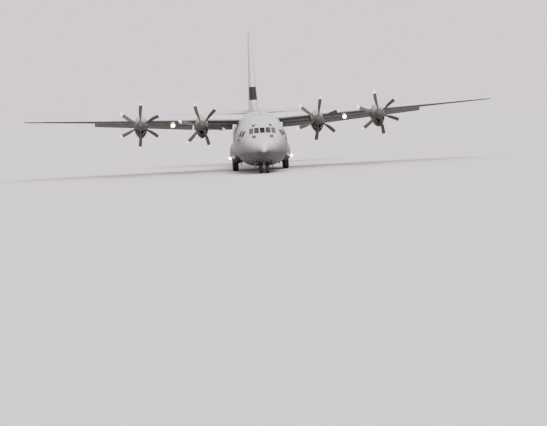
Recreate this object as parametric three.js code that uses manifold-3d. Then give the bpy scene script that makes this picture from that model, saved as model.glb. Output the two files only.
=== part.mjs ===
// A four-engined, high-winged military transport plane, parked on its wheels with its flaps down.
// Every number below is a size of the full aircraft in millimetres; the exported group scales it to 1:2.
// X points to the plane's left wing tip, Y to its tail and Z up. The origin is on the ground, mid-length.
import * as THREE from 'three';
import { mergeVertices } from 'three/addons/utils/BufferGeometryUtils.js';
import Module from 'manifold-3d';

const wasm = await Module();
wasm.setup();

// Driving dimensions
const MODEL_SCALE = 1 / 2;
const LENGTH = 29790;
const HALF_SPAN = 20205;
const TOUCHING = 0.8;
const CLEARANCE = 14;
const PIN_SIDES = 16;
const RUNNING_GAP = 0.7;
const PIN_ROOT = 60;
const HINGE_PIN = 20;
const SKIN = 90;
const TAIL_SKIN = 80;

const JOINT_NOSE = 5000;
const JOINT_TAIL = 16380;

const LEFT = 1;
const RIGHT = -1;
const SIDES = [['left', LEFT], ['right', RIGHT]];

const degrees = THREE.MathUtils.degToRad;
const lerp = THREE.MathUtils.lerp;

// Stations count backwards from the tip of the nose.
const at = (station) => station - LENGTH / 2;

// Materials, with their colours in the photo
const paint = (color, roughness = 0.5, metalness = 0.1) =>
  new THREE.MeshStandardMaterial({ color, roughness, metalness });
const SKIN_GREY = paint(0x9a9c99);
const PALE_RADOME = paint(0xb4b4b1, 0.45, 0);
const DARK_PANEL = paint(0x33363a, 0.6, 0);
const BLADE_BLACK = paint(0x24262a, 0.45, 0);
const GLASS = paint(0x1d2429, 0.08, 0);
const RUBBER = paint(0x17181a, 0.85, 0);
const WHEEL_WHITE = paint(0xc9cac6, 0.45, 0.2);
const GEAR_WHITE = paint(0xbfc1bd, 0.4, 0.3);
const INNER_GREY = paint(0x6b706d, 0.7, 0);
const ENGINE_METAL = paint(0x5b5c5c, 0.5, 0.8);

// Solids
function solid(geometry) {
  const bare = geometry.clone();
  bare.deleteAttribute('normal');
  bare.deleteAttribute('uv');
  const merged = mergeVertices(bare, 1e-3);
  return new wasm.Manifold(new wasm.Mesh({
    numProp: 3,
    vertProperties: merged.attributes.position.array,
    triVerts: new Uint32Array(merged.index.array),
  }));
}

function geometryOf(manifold) {
  const mesh = manifold.getMesh();
  return new THREE.BufferGeometry()
    .setAttribute('position', new THREE.BufferAttribute(mesh.vertProperties, 3))
    .setIndex(new THREE.BufferAttribute(mesh.triVerts, 1));
}

const largestOf = (shape) => shape.decompose().sort((a, b) => b.volume() - a.volume())[0];
const joined = (solids) => solids.reduce((whole, next) => whole.add(next));
const cut = (body, tools) => tools.reduce((left, tool) => left.subtract(tool), body);

// A closed skin through rings of points that all have the same count, with flat ends across the axis.
function loft(rings, axis) {
  const count = rings[0].length;
  const faces = [];
  rings.slice(1).forEach((_, i) => {
    for (let j = 0; j < count; j += 1) {
      const a = i * count + j;
      const b = i * count + (j + 1) % count;
      faces.push([a, b, b + count], [a, b + count, a + count]);
    }
  });
  const plane = [0, 1, 2].filter((k) => k !== axis);
  for (const [ring, start, flip] of [[rings[0], 0, true], [rings.at(-1), (rings.length - 1) * count, false]]) {
    const flat = ring.map((p) => new THREE.Vector2(p[plane[0]], p[plane[1]]));
    const outward = Math.sign(THREE.ShapeUtils.area(flat));
    for (const [a, b, c] of THREE.ShapeUtils.triangulateShape(flat, [])) {
      const turns = Math.sign(THREE.ShapeUtils.area([flat[a], flat[b], flat[c]])) === outward;
      const face = turns === flip ? [a, c, b] : [a, b, c];
      faces.push(face.map((k) => k + start));
    }
  }
  const positions = new Float32Array(rings.flat(2));
  const build = (list) => new THREE.BufferGeometry()
    .setAttribute('position', new THREE.BufferAttribute(positions, 3))
    .setIndex(list.flat());
  const made = solid(build(faces));
  return made.volume() > 0 ? made : solid(build(faces.map(([a, b, c]) => [a, c, b])));
}

// An outline pushed straight along an axis; its two numbers are the other two axes, Y as a station.
function prism(outline, axis, from, to) {
  const ring = (along) => outline.map(([p, q]) => {
    if (axis === 0) return [along, at(p), q];
    return axis === 1 ? [p, at(along), q] : [p, at(q), along];
  });
  return loft([ring(from), ring(to)], axis);
}

const block = (x0, x1, s0, s1, z0, z1) => prism([[x0, z0], [x1, z0], [x1, z1], [x0, z1]], 1, s0, s1);

// A round rod between two points.
function rod(radius, from, to, sides = PIN_SIDES) {
  const [a, b] = [from, to].map((p) => new THREE.Vector3(...p));
  const along = b.clone().sub(a);
  const geometry = new THREE.CylinderGeometry(radius, radius, along.length(), sides);
  const turn = new THREE.Quaternion().setFromUnitVectors(new THREE.Vector3(0, 1, 0), along.clone().normalize());
  geometry.applyQuaternion(turn);
  geometry.translate(...a.add(b).multiplyScalar(0.5).toArray());
  return solid(geometry);
}

// The same, its ends given as x, station and z.
const bar = (radius, from, to, sides) => rod(radius, ...[from, to].map(([x, s, z]) => [x, at(s), z]), sides);

// A bore around a pin: its flats clear the pin's corners at any turn.
const boreFor = (radius) => (radius + RUNNING_GAP) / Math.cos(Math.PI / PIN_SIDES);

// Stubs along a hinge line, standing out of both of its ends.
function endPins([a, b], radius, reach) {
  const [from, to] = [a, b].map((p) => new THREE.Vector3(...p));
  const along = to.clone().sub(from).normalize();
  return [[from, -1], [to, 1]].map(([end, way]) => rod(
    radius,
    end.clone().addScaledVector(along, -way * PIN_ROOT).toArray(),
    end.clone().addScaledVector(along, way * reach).toArray(),
  ));
}

// A turned piece whose profile of [radius, along] pairs closes on itself or ends on the axis.
function turned(profile, sides, direction) {
  const geometry = new THREE.LatheGeometry(profile.map(([r, h]) => new THREE.Vector2(r, h)), sides);
  geometry.applyQuaternion(new THREE.Quaternion().setFromUnitVectors(new THREE.Vector3(0, 1, 0), direction));
  return geometry;
}

const aircraft = new THREE.Group();
aircraft.scale.setScalar(MODEL_SCALE);

function place(name, shape, material) {
  const mesh = new THREE.Mesh(shape.isBufferGeometry ? shape : geometryOf(shape), material);
  mesh.name = name;
  aircraft.add(mesh);
  return mesh;
}

// The left piece as it is modelled, and its mirror image on the right.
function placePair(name, shape, material) {
  return SIDES.map(([word, side]) => {
    const mesh = place(`${name}_${word}`, shape, material);
    mesh.scale.x = side;
    return mesh;
  });
}

// Fuselage: station, bottom, top, half width, height of the widest line, squareness of the belly
const RADOME_ROWS = [
  [0, 1992, 2008, 10, 2000, 2],
  [90, 1790, 2230, 205, 2005, 2],
  [320, 1560, 2480, 465, 2015, 2],
  [720, 1290, 2730, 790, 2040, 2],
  [1250, 1050, 2960, 1110, 2080, 2.1],
];
const NOSE_ROWS = [
  [1250, 1050, 2960, 1110, 2080, 2.1],
  [1900, 860, 3270, 1430, 2180, 2.2],
  [2500, 735, 3840, 1690, 2290, 2.35],
  [2750, 700, 4080, 1780, 2330, 2.45],
  [3400, 620, 4500, 1960, 2440, 2.6],
  [4200, 565, 4760, 2110, 2550, 2.75],
  [5000, 550, 4850, 2170, 2600, 2.8],
];
const BARREL_ROWS = [
  [5000, 550, 4850, 2170, 2600, 2.8],
  [16380, 550, 4850, 2170, 2600, 2.8],
];
const TAIL_ROWS = [
  [16380, 550, 4850, 2170, 2600, 2.8],
  [18000, 1110, 4850, 2160, 2760, 2.8],
  [20000, 1830, 4850, 2060, 3050, 2.8],
  [22000, 2550, 4850, 1800, 3430, 2.8],
  [24000, 3170, 4830, 1430, 3800, 2.6],
  [26000, 3690, 4780, 1010, 4130, 2.4],
  [28000, 4060, 4680, 580, 4340, 2.2],
  [29400, 4280, 4560, 240, 4420, 2],
  [29790, 4390, 4480, 60, 4435, 2],
];
const FUSELAGE_SIDES = 24;

function bodyRing([station, bottom, top, half, wide, square], inset = 0, sides = FUSELAGE_SIDES) {
  return Array.from({ length: sides }, (_, k) => {
    const turn = (2 * Math.PI * k) / sides;
    const [across, up] = [Math.sin(turn), Math.cos(turn)];
    const power = up >= 0 ? 1 : 2 / square;
    const x = (half - inset) * Math.sign(across) * Math.abs(across) ** power;
    const rise = up >= 0 ? top - inset - wide : wide - bottom - inset;
    return [x, at(station), wide + rise * Math.sign(up) * Math.abs(up) ** power];
  });
}

// The row of the fuselage table at any station between its first and last.
function rowAt(rows, station) {
  const next = Math.max(1, rows.findIndex((row) => row[0] >= station));
  const share = (station - rows[next - 1][0]) / (rows[next][0] - rows[next - 1][0]);
  return rows[next].map((value, k) => lerp(rows[next - 1][k], value, share));
}

function bodyLoft(rows, inset = 0, from = rows[0][0], to = rows.at(-1)[0]) {
  const inner = rows.filter(([station]) => station > from + 1 && station < to - 1);
  const picked = [rowAt(rows, from), ...inner, rowAt(rows, to)];
  return loft(picked.map((row) => bodyRing(row, inset)), 1);
}

const BODY_ROWS = [...NOSE_ROWS, BARREL_ROWS[1], ...TAIL_ROWS.slice(1)];
const wholeBody = bodyLoft(BODY_ROWS, -TOUCHING);

// Wing: half span position, leading edge station, chord, height of the quarter chord, incidence, thickness
const WING_DIHEDRAL = Math.tan(degrees(2.5));
const WING_HEIGHT = 4290;
const WING_JOINT = 5590;
const WING_BREAK = 14250;
const TIP_START = 19850;
const wingHeight = (x) => WING_HEIGHT + x * WING_DIHEDRAL;
const WING_ROWS = [
  [0, 10060, 4880, wingHeight(0), 3, 0.18],
  [WING_JOINT, 10060, 4880, wingHeight(WING_JOINT), 3, 0.18],
  [HALF_SPAN, 10560, 2480, wingHeight(HALF_SPAN), 0, 0.12],
];
const CAMBER = 0.02;
const CAMBER_PLACE = 0.45;

function halfThickness(u, ratio) {
  const series = 0.2969 * Math.sqrt(u) - 0.126 * u - 0.3516 * u ** 2 + 0.2843 * u ** 3 - 0.1036 * u ** 4;
  return 5 * ratio * series + 0.0015 * u;
}

function camberLine(u, camber) {
  const p = CAMBER_PLACE;
  return u < p
    ? (camber * (2 * p * u - u * u)) / p ** 2
    : (camber * (1 - 2 * p + 2 * p * u - u * u)) / (1 - p) ** 2;
}

// A lifting surface's section at one place: point(u, v) turns shares of the chord into a point in space.
function wingSection(x, extra = {}) {
  const [, edge, chord, height, incidence, ratio] = rowAt(WING_ROWS, x);
  const turn = degrees(incidence);
  const scaled = chord * (extra.chordShare ?? 1);
  const front = edge + (chord - scaled) * 0.4;
  return {
    chord: scaled,
    ratio: ratio * (extra.thickShare ?? 1),
    camber: CAMBER,
    point: (u, v) => [
      x,
      at(front + chord * 0.25 + ((u - 0.25) * Math.cos(turn) + v * Math.sin(turn)) * scaled
        + (scaled - chord) * 0.25),
      height + (v * Math.cos(turn) - (u - 0.25) * Math.sin(turn)) * scaled,
    ],
  };
}

const upper = (section, u) => camberLine(u, section.camber) + halfThickness(u, section.ratio);
const lower = (section, u) => camberLine(u, section.camber) - halfThickness(u, section.ratio);
const FOIL_STEPS = [1, 0.84, 0.68, 0.52, 0.36, 0.22, 0.11, 0.04, 0.008];

// The ring of a whole aerofoil: over the top from the trailing edge, round the nose and back underneath.
function foilRing(section, grow = 0) {
  const skin = grow / section.chord;
  return [
    ...FOIL_STEPS.map((u) => section.point(u === 1 ? 1 + skin : u, upper(section, u) + skin)),
    section.point(-skin, 0),
    ...[...FOIL_STEPS].reverse().map((u) => section.point(u === 1 ? 1 + skin : u, lower(section, u) - skin)),
  ];
}

function wingLoft(from, to, grow = 0) {
  const places = [from, ...[WING_JOINT, WING_BREAK].filter((x) => x > from && x < to), to];
  return loft(places.map((x) => foilRing(wingSection(x), grow)), 0);
}

// Flaps and ailerons
const COVE = 0.7;
const SHROUD_END = 0.84;
const SHROUD_SHARE = 0.72;
const FLAP_INNER = [2150, 5570];
const FLAP_OUTER = [5610, 14215];
const AILERON = [14285, 19700];
const AILERON_HINGE = 0.75;
const FLAP_PIVOT = [0.703, -0.23];
const FLAP_DOWN = 24;
// The outer flap's hinge line is swept and rises, so its far end moves outwards in mid travel.
const OUTER_FLAP_GAP = 58;

// What is taken out of the wing behind its rear spar: the flap's bay under a thin upper shroud.
function flapBay([from, to]) {
  const ring = (x) => {
    const section = wingSection(Math.min(x, HALF_SPAN));
    const under = (u) => SHROUD_SHARE * upper(section, u);
    const outline = [
      [COVE, -0.3], [COVE, under(COVE) * 0.8], [0.73, under(0.73)], [0.78, under(0.78)],
      [SHROUD_END, under(SHROUD_END)], [SHROUD_END, 0.3], [1.3, 0.3], [1.3, -0.3],
    ];
    return outline.map(([u, v]) => section.point(u, v));
  };
  return loft([ring(from), ring(to)], 0);
}

function openBay([from, to], u) {
  const ring = (x) => {
    const section = wingSection(x);
    return [[u, -0.3], [u, 0.3], [1.3, 0.3], [1.3, -0.3]].map(([a, v]) => section.point(a, v));
  };
  return loft([ring(from), ring(to)], 0);
}

// A flap drawn in, with its nose under the shroud.
function flapShape([from, to]) {
  const ring = (x) => {
    const section = wingSection(x);
    const over = (u, share) => [u, upper(section, u) * share];
    const beneath = (u, share = 1) => [u, lower(section, u) * share];
    const outline = [
      [0.713, -0.006], over(0.722, 0.32), over(0.745, 0.53), over(0.79, 0.6), over(0.833, 0.56),
      over(0.856, 0.93), over(1, 1), beneath(1), beneath(0.86), beneath(0.76), beneath(0.722, 0.7),
    ];
    return outline.map(([u, v]) => section.point(u, v));
  };
  return loft([ring(from), ring(to)], 0);
}

// Turns a mesh about a line through two points, as a hinge would.
function swing(mesh, [a, b], angle, side = LEFT) {
  const [from, to] = [a, b].map(([x, y, z]) => new THREE.Vector3(side * x, y, z));
  const turn = new THREE.Quaternion().setFromAxisAngle(to.clone().sub(from).normalize(), angle);
  mesh.quaternion.copy(turn);
  mesh.position.copy(from).sub(from.clone().applyQuaternion(turn));
}

const flapLine = (span) => span.map((x) => wingSection(x).point(...FLAP_PIVOT));

function placeFlaps(name, span, tracks, endGap = CLEARANCE) {
  const whole = flapShape([span[0] + CLEARANCE, span[1] - endGap]);
  const shape = cut(whole, tracks.map((x) => flapTrack(span, x, SLOT)));
  placePair(name, shape, SKIN_GREY).forEach((mesh, k) => {
    swing(mesh, flapLine(span), degrees(-FLAP_DOWN) * SIDES[k][1], SIDES[k][1]);
  });
}

// A flap's curved tracks: bands of a circle about its hinge line, each in a slot of the flap.
const TRACKS_INNER = [2900, 4250];
const TRACKS_OUTER = [6900, 12600];
const TRACK = { share: 0.236, depth: 60, half: 25, from: -6, to: 46, steps: 7 };
const SLOT = { depth: 88, half: 26.6, from: 0, to: 48.5 };

function flapTrack(span, x, { depth, half, from, to }) {
  const [a, b] = flapLine(span).map((p) => new THREE.Vector3(...p));
  const along = b.clone().sub(a).normalize();
  const pivot = a.clone().addScaledVector(along, (x - a.x) / along.x);
  const section = wingSection(x);
  const up = new THREE.Vector3(...section.point(FLAP_PIVOT[0], 0)).sub(pivot);
  up.addScaledVector(along, -up.dot(along)).normalize();
  const aft = up.clone().cross(along);
  const arc = (radius) => Array.from({ length: TRACK.steps + 1 }, (_, k) => {
    const turn = degrees(lerp(from, to, k / TRACK.steps));
    return [radius * Math.sin(turn), radius * Math.cos(turn)];
  });
  const middle = TRACK.share * section.chord;
  const outline = [...arc(middle - depth / 2), ...arc(middle + depth / 2).reverse()];
  return loft([-half, half].map((side) => outline.map(([p, q]) => pivot.clone()
    .addScaledVector(along, side).addScaledVector(aft, p).addScaledVector(up, q).toArray())), 0);
}

// A control surface with a round nose centred on its hinge line.
const NOSE_STEPS = 4;
function controlRing(section, hinge, grow = 0) {
  const radius = halfThickness(hinge, section.ratio);
  const middle = camberLine(hinge, section.camber);
  const nose = Array.from({ length: NOSE_STEPS + 1 }, (_, k) => {
    const turn = Math.PI * (0.5 + k / NOSE_STEPS);
    return [hinge + radius * Math.cos(turn), middle + radius * Math.sin(turn)];
  });
  const outline = [[1, lower(section, 1) - grow], [1, upper(section, 1) + grow], ...nose];
  return outline.map(([u, v]) => section.point(u, v));
}

function placeWings() {
  const inner = cut(wingLoft(0, WING_JOINT - TOUCHING / 2), [flapBay([FLAP_INNER[0], FLAP_INNER[1] + 60])]);
  const innerTracks = TRACKS_INNER.map((x) => flapTrack(FLAP_INNER, x, TRACK));
  place('wing_centre', bothSides(joined([inner, ...innerTracks])), SKIN_GREY);

  const tip = loft([
    foilRing(wingSection(TIP_START)),
    foilRing(wingSection(HALF_SPAN - 150, { chordShare: 0.97, thickShare: 0.8 })),
    foilRing(wingSection(HALF_SPAN, { chordShare: 0.86, thickShare: 0.35 })),
  ], 0);
  const ends = [AILERON[0] + CLEARANCE, AILERON[1] - CLEARANCE];
  const line = ends.map((x) => {
    const section = wingSection(x);
    return section.point(AILERON_HINGE, camberLine(AILERON_HINGE, section.camber));
  });
  const outer = cut(joined([wingLoft(WING_JOINT + TOUCHING / 2, TIP_START), tip]), [
    flapBay([FLAP_OUTER[0] - 60, FLAP_OUTER[1]]),
    openBay(AILERON, COVE),
    ...endPins(line, boreFor(HINGE_PIN), 50),
  ]);
  const outerTracks = TRACKS_OUTER.map((x) => flapTrack(FLAP_OUTER, x, TRACK));
  placePair('wing_outer', joined([outer, ...outerTracks]), SKIN_GREY);
  placeFlaps('flap_inner', FLAP_INNER, TRACKS_INNER);
  placeFlaps('flap_outer', FLAP_OUTER, TRACKS_OUTER, OUTER_FLAP_GAP);
  const aileron = loft(ends.map((x) => controlRing(wingSection(x), AILERON_HINGE)), 0);
  placePair('aileron', joined([aileron, ...endPins(line, HINGE_PIN, 44)]), SKIN_GREY);
}

// The mirror image of a solid across the plane of symmetry.
function flipped(shape) {
  const geometry = geometryOf(shape);
  const positions = geometry.attributes.position;
  for (let i = 0; i < positions.count; i += 1) positions.setX(i, -positions.getX(i));
  const index = geometry.index.array;
  for (let i = 0; i < index.length; i += 3) [index[i + 1], index[i + 2]] = [index[i + 2], index[i + 1]];
  return solid(geometry);
}

// The solid on both sides of the plane of symmetry.
const bothSides = (shape) => shape.add(flipped(shape));

// Nose: window panes seen from the front as x and z, and from the side as station and z
const FRONT_PANES = [
  [[-215, 3390], [215, 3390], [205, 3830], [-205, 3830]],
  [[285, 3390], [700, 3360], [670, 3830], [275, 3840]],
  [[770, 3350], [1130, 3290], [1080, 3760], [735, 3820]],
  [[560, 2990], [900, 2950], [900, 3190], [590, 3230]],
  [[620, 3920], [900, 3860], [760, 4090], [520, 4130]],
];
const SIDE_PANES = [
  [[2780, 3080], [3230, 3080], [3230, 3560], [2830, 3560]],
  [[3310, 3080], [3760, 3080], [3760, 3560], [3310, 3560]],
  [[3400, 2530], [3800, 2530], [3800, 2900], [3400, 2900]],
];
const CREW_DOOR = { s0: 4150, s1: 4950, z0: 1060, z1: 2860 };
const NOSE_WELL = { half: 720, s0: 1620, s1: 2990, top: 1500 };
const DOOR_HINGE = { x: 1786, z: 1046, s0: 4220, s1: 4880, pin: 14 };
// Seen from the front: the eye on the sill, and the door's own lug
const DOOR_EYE = [
  [1640, 1018], [1800, 1018], [1810, 1046], [1800, 1070], [1774, 1070], [1764, 1050], [1764, 1040], [1640, 1040],
];
const DOOR_LUG = [
  [1690, 1062], [1752, 1062], [1774, 1034], [1796, 1036], [1798, 1058], [1740, 1120], [1690, 1120],
];
const BULKHEAD = 100;
const GLASS_THICKNESS = 26;

function paneTools() {
  const front = FRONT_PANES.flatMap((pane) => {
    const tool = prism(pane, 1, 1500, 3300);
    return pane === FRONT_PANES[0] ? [tool] : [tool, flipped(tool)];
  });
  const side = SIDE_PANES.map((pane) => prism(pane, 0, 1000, 2600));
  return [...front, ...side, ...side.map(flipped)];
}

const noseVoid = bodyLoft(NOSE_ROWS, SKIN, NOSE_ROWS[0][0] + BULKHEAD);
const doorBox = (grow) => block(
  1200, 2600, CREW_DOOR.s0 - grow, CREW_DOOR.s1 + grow, CREW_DOOR.z0 - grow, CREW_DOOR.z1 + grow,
);

function placeNose() {
  place('radome', bodyLoft(RADOME_ROWS, 0, 0, 1250 - TOUCHING), PALE_RADOME);
  const well = block(-NOSE_WELL.half, NOSE_WELL.half, NOSE_WELL.s0, NOSE_WELL.s1, 0, NOSE_WELL.top);
  const outer = bodyLoft(NOSE_ROWS, 0, NOSE_ROWS[0][0], JOINT_NOSE - TOUCHING);
  const { x, z, s0, s1, pin } = DOOR_HINGE;
  const hingeRod = (radius) => bar(radius, [x, s0, z], [x, s1, z]);
  const eyes = [s0 + 10, s1 - 70].map((s) => prism(DOOR_EYE, 1, s, s + 60));
  const shell = cut(outer, [noseVoid, well, ...paneTools(), doorBox(CLEARANCE)]);
  place('nose_shell', joined([shell, ...eyes]).subtract(hingeRod(boreFor(pin))), SKIN_GREY);
  const door = outer.subtract(noseVoid).intersect(doorBox(0));
  place('crew_door', joined([door, prism(DOOR_LUG, 1, 4400, 4700), hingeRod(pin)]), SKIN_GREY);

  const pane = bodyLoft(NOSE_ROWS, SKIN + TOUCHING, NOSE_ROWS[0][0] + BULKHEAD + TOUCHING);
  const hollow = bodyLoft(NOSE_ROWS, SKIN + GLASS_THICKNESS, NOSE_ROWS[0][0] + BULKHEAD + GLASS_THICKNESS);
  const band = block(-2200, 2200, 1400, 3900, 2460, 4250);
  place('windscreen', pane.subtract(hollow).intersect(band), GLASS);
}

// Flight deck: the floor over the nose wheel's well, the instrument panel and two seats
const DECK = 2060;
const SEAT_PLACE = 560;

function seat(x) {
  return joined([
    block(x - 150, x + 150, 2780, 3080, DECK - 20, DECK + 330),
    block(x - 240, x + 240, 2680, 3180, DECK + 320, DECK + 440),
    block(x - 230, x + 230, 3120, 3230, DECK + 420, DECK + 1080),
    block(x - 140, x + 140, 3130, 3220, DECK + 1060, DECK + 1280),
  ]);
}

function placeFlightDeck() {
  const wall = 50;
  const inside = bodyLoft(NOSE_ROWS, SKIN + GLASS_THICKNESS + 10, NOSE_ROWS[0][0] + BULKHEAD + 40);
  const tub = block(
    -NOSE_WELL.half - wall, NOSE_WELL.half + wall, NOSE_WELL.s0 - wall, NOSE_WELL.s1 + wall, 700, DECK - 50,
  );
  const well = block(-NOSE_WELL.half, NOSE_WELL.half, NOSE_WELL.s0, NOSE_WELL.s1, 0, NOSE_WELL.top);
  const below = bodyLoft(NOSE_ROWS, SKIN + TOUCHING, NOSE_ROWS[0][0] + BULKHEAD + TOUCHING);
  const room = joined([
    block(-1900, 1900, 1500, 4060, DECK - 60, DECK),
    block(-1900, 1900, 4000, 4060, 1032, DECK),
    block(-980, 980, 1880, 2060, DECK - 10, 2980),
    block(-1000, 1000, 1830, 2180, 2940, 3060),
    block(-170, 170, 2000, 2900, DECK - 10, 2560),
    seat(SEAT_PLACE),
    seat(-SEAT_PLACE),
  ]).intersect(inside);
  place('flight_deck', tub.intersect(below).subtract(well).add(room), INNER_GREY);
}

// Hold
const FLOOR = 1030;
const FLOOR_THICKNESS = 100;
const HOLD = [
  [1580, FLOOR - FLOOR_THICKNESS], [1620, 1700], [1920, 2100], [1920, 3000], [1620, 3550], [1050, 3820],
];
const JUMP_DOOR = { s0: 15300, s1: 16200, z0: 1060, z1: 2900 };
const WHEEL_WELL = { x0: 1700, x1: 2500, s0: 10400, s1: 13740, top: 1620 };
// Fairing over the wing's root: station, top, half width
const HUMP_ROWS = [[8300, 4700, 600], [9250, 4960, 1450], [10200, 5060, 1850], [13800, 5050, 1850],
  [15300, 4920, 1350], [16300, 4740, 600]];

const wheelWell = () => block(
  WHEEL_WELL.x0, WHEEL_WELL.x1, WHEEL_WELL.s0, WHEEL_WELL.s1, 0, WHEEL_WELL.top,
);
const jumpDoorBox = (grow) => block(
  1000, 2600, JUMP_DOOR.s0 - grow, JUMP_DOOR.s1 + grow, JUMP_DOOR.z0 - grow, JUMP_DOOR.z1 + grow,
);

function placeCentre() {
  const outline = [...HOLD, ...HOLD.map(([x, z]) => [-x, z]).reverse()];
  const hold = prism(outline, 1, JOINT_NOSE - 100, JOINT_TAIL + 100);
  const barrel = bodyLoft(BARREL_ROWS, 0, JOINT_NOSE, JOINT_TAIL - TOUCHING);
  const hump = loft(HUMP_ROWS.map(([s, top, half]) => bodyRing([s, 3500, top, half, 3850, 2], 0, 24)), 1);
  const wing = bothSides(wingLoft(0, TIP_START, TOUCHING));
  const shell = joined([barrel, hump]).subtract(hold);
  const wells = bothSides(wheelWell());
  const eyes = bothSides(prism(RAMP_EYE, 0, RAMP_HINGE.eye, RAMP_HINGE.eye + 80)
    .subtract(rampRod(boreFor(TAIL_PIN), RAMP_HINGE.eye - 10, RAMP_HINGE.eye + 90)));
  const body = cut(shell, [wing, wells, bothSides(jumpDoorBox(TOUCHING))]);
  place('centre_fuselage', joined([body, eyes]), SKIN_GREY);
  placePair('jump_door', shell.intersect(jumpDoorBox(0)), SKIN_GREY);

  const plan = [[950, 4140], [1180, 4600], [1360, 4980], [1360, 5004], [1560, 5004], [1560, 16330]];
  const floor = prism(
    [...plan, ...plan.map(([x, s]) => [-x, s]).reverse()], 2, FLOOR - FLOOR_THICKNESS + TOUCHING, FLOOR,
  );
  place('cargo_floor', floor, INNER_GREY);
}

// Sponsons: station, outer reach, bottom, top
const SPONSON_ROWS = [[9150, 2080, 1250, 1900], [9700, 2400, 860, 2380], [10300, 2570, 730, 2600],
  [12000, 2600, 720, 2640], [13700, 2570, 730, 2600], [14500, 2380, 860, 2380], [15150, 2080, 1250, 1900]];
const SPONSON_ROOT = 1650;

function placeSponsons() {
  const rings = SPONSON_ROWS.map(([s, reach, bottom, top]) => {
    const ring = bodyRing([s, bottom, top, reach - SPONSON_ROOT, lerp(bottom, top, 0.5), 4.2], 0, 20);
    return ring.map(([x, y, z]) => [x + SPONSON_ROOT, y, z]);
  });
  const mouth = block(1500, WHEEL_WELL.x1, WHEEL_WELL.s0, WHEEL_WELL.s1, 0, 1300);
  const shape = cut(loft(rings, 1), [wholeBody, wheelWell(), mouth, jumpDoorBox(60)]);
  placePair('sponson', largestOf(shape), SKIN_GREY);
}

// Tail: the ramp and the door above it close the opening under the tail
const RAMP_HALF = 1530;
const RAMP_OUTLINE = [
  [16424, FLOOR], [16412, 800], [16577, 500], [19450, 1500], [19450, 1646], [19345, 1950],
];
const DOOR_START = 19472;
const DOOR_END = 22940;
const DOOR_DEPTH = 120;
const DOOR_PLAN = [[RAMP_HALF, DOOR_START], [1220, DOOR_END]];
const OPENING_PLAN = [[RAMP_HALF + 30, JOINT_TAIL - 50], [RAMP_HALF + 30, DOOR_START], [1250, DOOR_END + CLEARANCE]];
// Each hinge, seen from the side: its pivot, its fixed eye, and where that eye stands across the tail
const RAMP_HINGE = { s: 16402, z: 800, eye: 900 };
const RAMP_EYE = [
  [16300, 834], [16402, 834], [16430, 820], [16436, 800], [16430, 780], [16402, 766], [16300, 766],
];
const CARGO_HINGE = { s: 22947, z: 3012, eye: 300 };
const CARGO_EYE = [
  [22966, 2880], [23040, 2880], [22981, 3016], [22968, 3040], [22947, 3046], [22924, 3037], [22913, 3012],
  [22924, 2987], [22947, 2978], [22966, 2984],
];
const CARGO_LUG = [[22860, 2930], [22936, 2930], [22972, 3000], [22968, 3026], [22940, 3036], [22900, 3000]];
const TAIL_PIN = 16;
// The door's rear corners stand above its hinge, so they are cut back to swing clear of the tail.
const DOOR_RELIEF = [[DOOR_END + 1, 3012], [DOOR_END + 60, 3012], [DOOR_END + 60, 3420], [DOOR_END - 400, 3420]];

const bothEdges = (plan) => [...plan, ...plan.map(([x, s]) => [-x, s]).reverse()];

function placeTail() {
  const outer = bodyLoft(TAIL_ROWS, 0, JOINT_TAIL + TOUCHING);
  const hollow = bodyLoft(TAIL_ROWS, TAIL_SKIN, JOINT_TAIL, 27600);
  const opening = prism(bothEdges(OPENING_PLAN), 2, 0, 3400);
  const { s, z, eye } = CARGO_HINGE;
  const cargoRod = (radius) => bothSides(bar(radius, [eye - 100, s, z], [eye + 60, s, z]));
  const cargoEyes = bothSides(prism(CARGO_EYE, 0, eye, eye + 50));
  const shell = cut(outer, [hollow, opening, tailplaneLoft(TOUCHING)]);
  place('tail_fuselage', joined([shell, cargoEyes]).subtract(cargoRod(boreFor(TAIL_PIN))), SKIN_GREY);

  const leaf = outer.subtract(bodyLoft(TAIL_ROWS, DOOR_DEPTH, 19000, 24000))
    .intersect(prism(bothEdges(DOOR_PLAN), 2, 0, 3400))
    .subtract(prism(DOOR_RELIEF, 0, -RAMP_HALF, RAMP_HALF));
  const lugs = bothSides(prism(CARGO_LUG, 0, eye - 90, eye - 30));
  place('cargo_door', joined([leaf, lugs, cargoRod(TAIL_PIN)]), SKIN_GREY);

  const ramp = prism(RAMP_OUTLINE, 0, -RAMP_HALF, RAMP_HALF).intersect(outer);
  const notch = bothSides(rampRod(46, RAMP_HINGE.eye - 15, RAMP_HINGE.eye + 95));
  const pins = bothSides(rampRod(TAIL_PIN, RAMP_HINGE.eye - 80, RAMP_HINGE.eye + 160));
  place('cargo_ramp', joined([ramp.subtract(notch), pins]), SKIN_GREY);
}

const rampRod = (radius, from, to) => bar(
  radius, [from, RAMP_HINGE.s, RAMP_HINGE.z], [to, RAMP_HINGE.s, RAMP_HINGE.z],
);

// Tailplane and elevators: half span position, leading edge station, chord, thickness
const TAILPLANE_HEIGHT = 4750;
const TAILPLANE_HALF = 8025;
const TAILPLANE_ROWS = [[0, 24550, 4100, 0.12], [7800, 25550, 2150, 0.1], [TAILPLANE_HALF, 25800, 1750, 0.05]];
const ELEVATOR_HINGE = 0.67;
const ELEVATOR_COVE = 0.6;
const ELEVATOR = [[620, 1000], [7700, 7700]];

function tailSection(x) {
  const [, edge, chord, ratio] = rowAt(TAILPLANE_ROWS, x);
  return {
    chord, ratio, camber: 0,
    point: (u, v) => [x, at(edge + u * chord), TAILPLANE_HEIGHT + v * chord],
  };
}

function tailplaneLoft(grow = 0) {
  const half = loft(TAILPLANE_ROWS.map(([x]) => foilRing(tailSection(x), grow)), 0);
  return bothSides(half);
}

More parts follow.
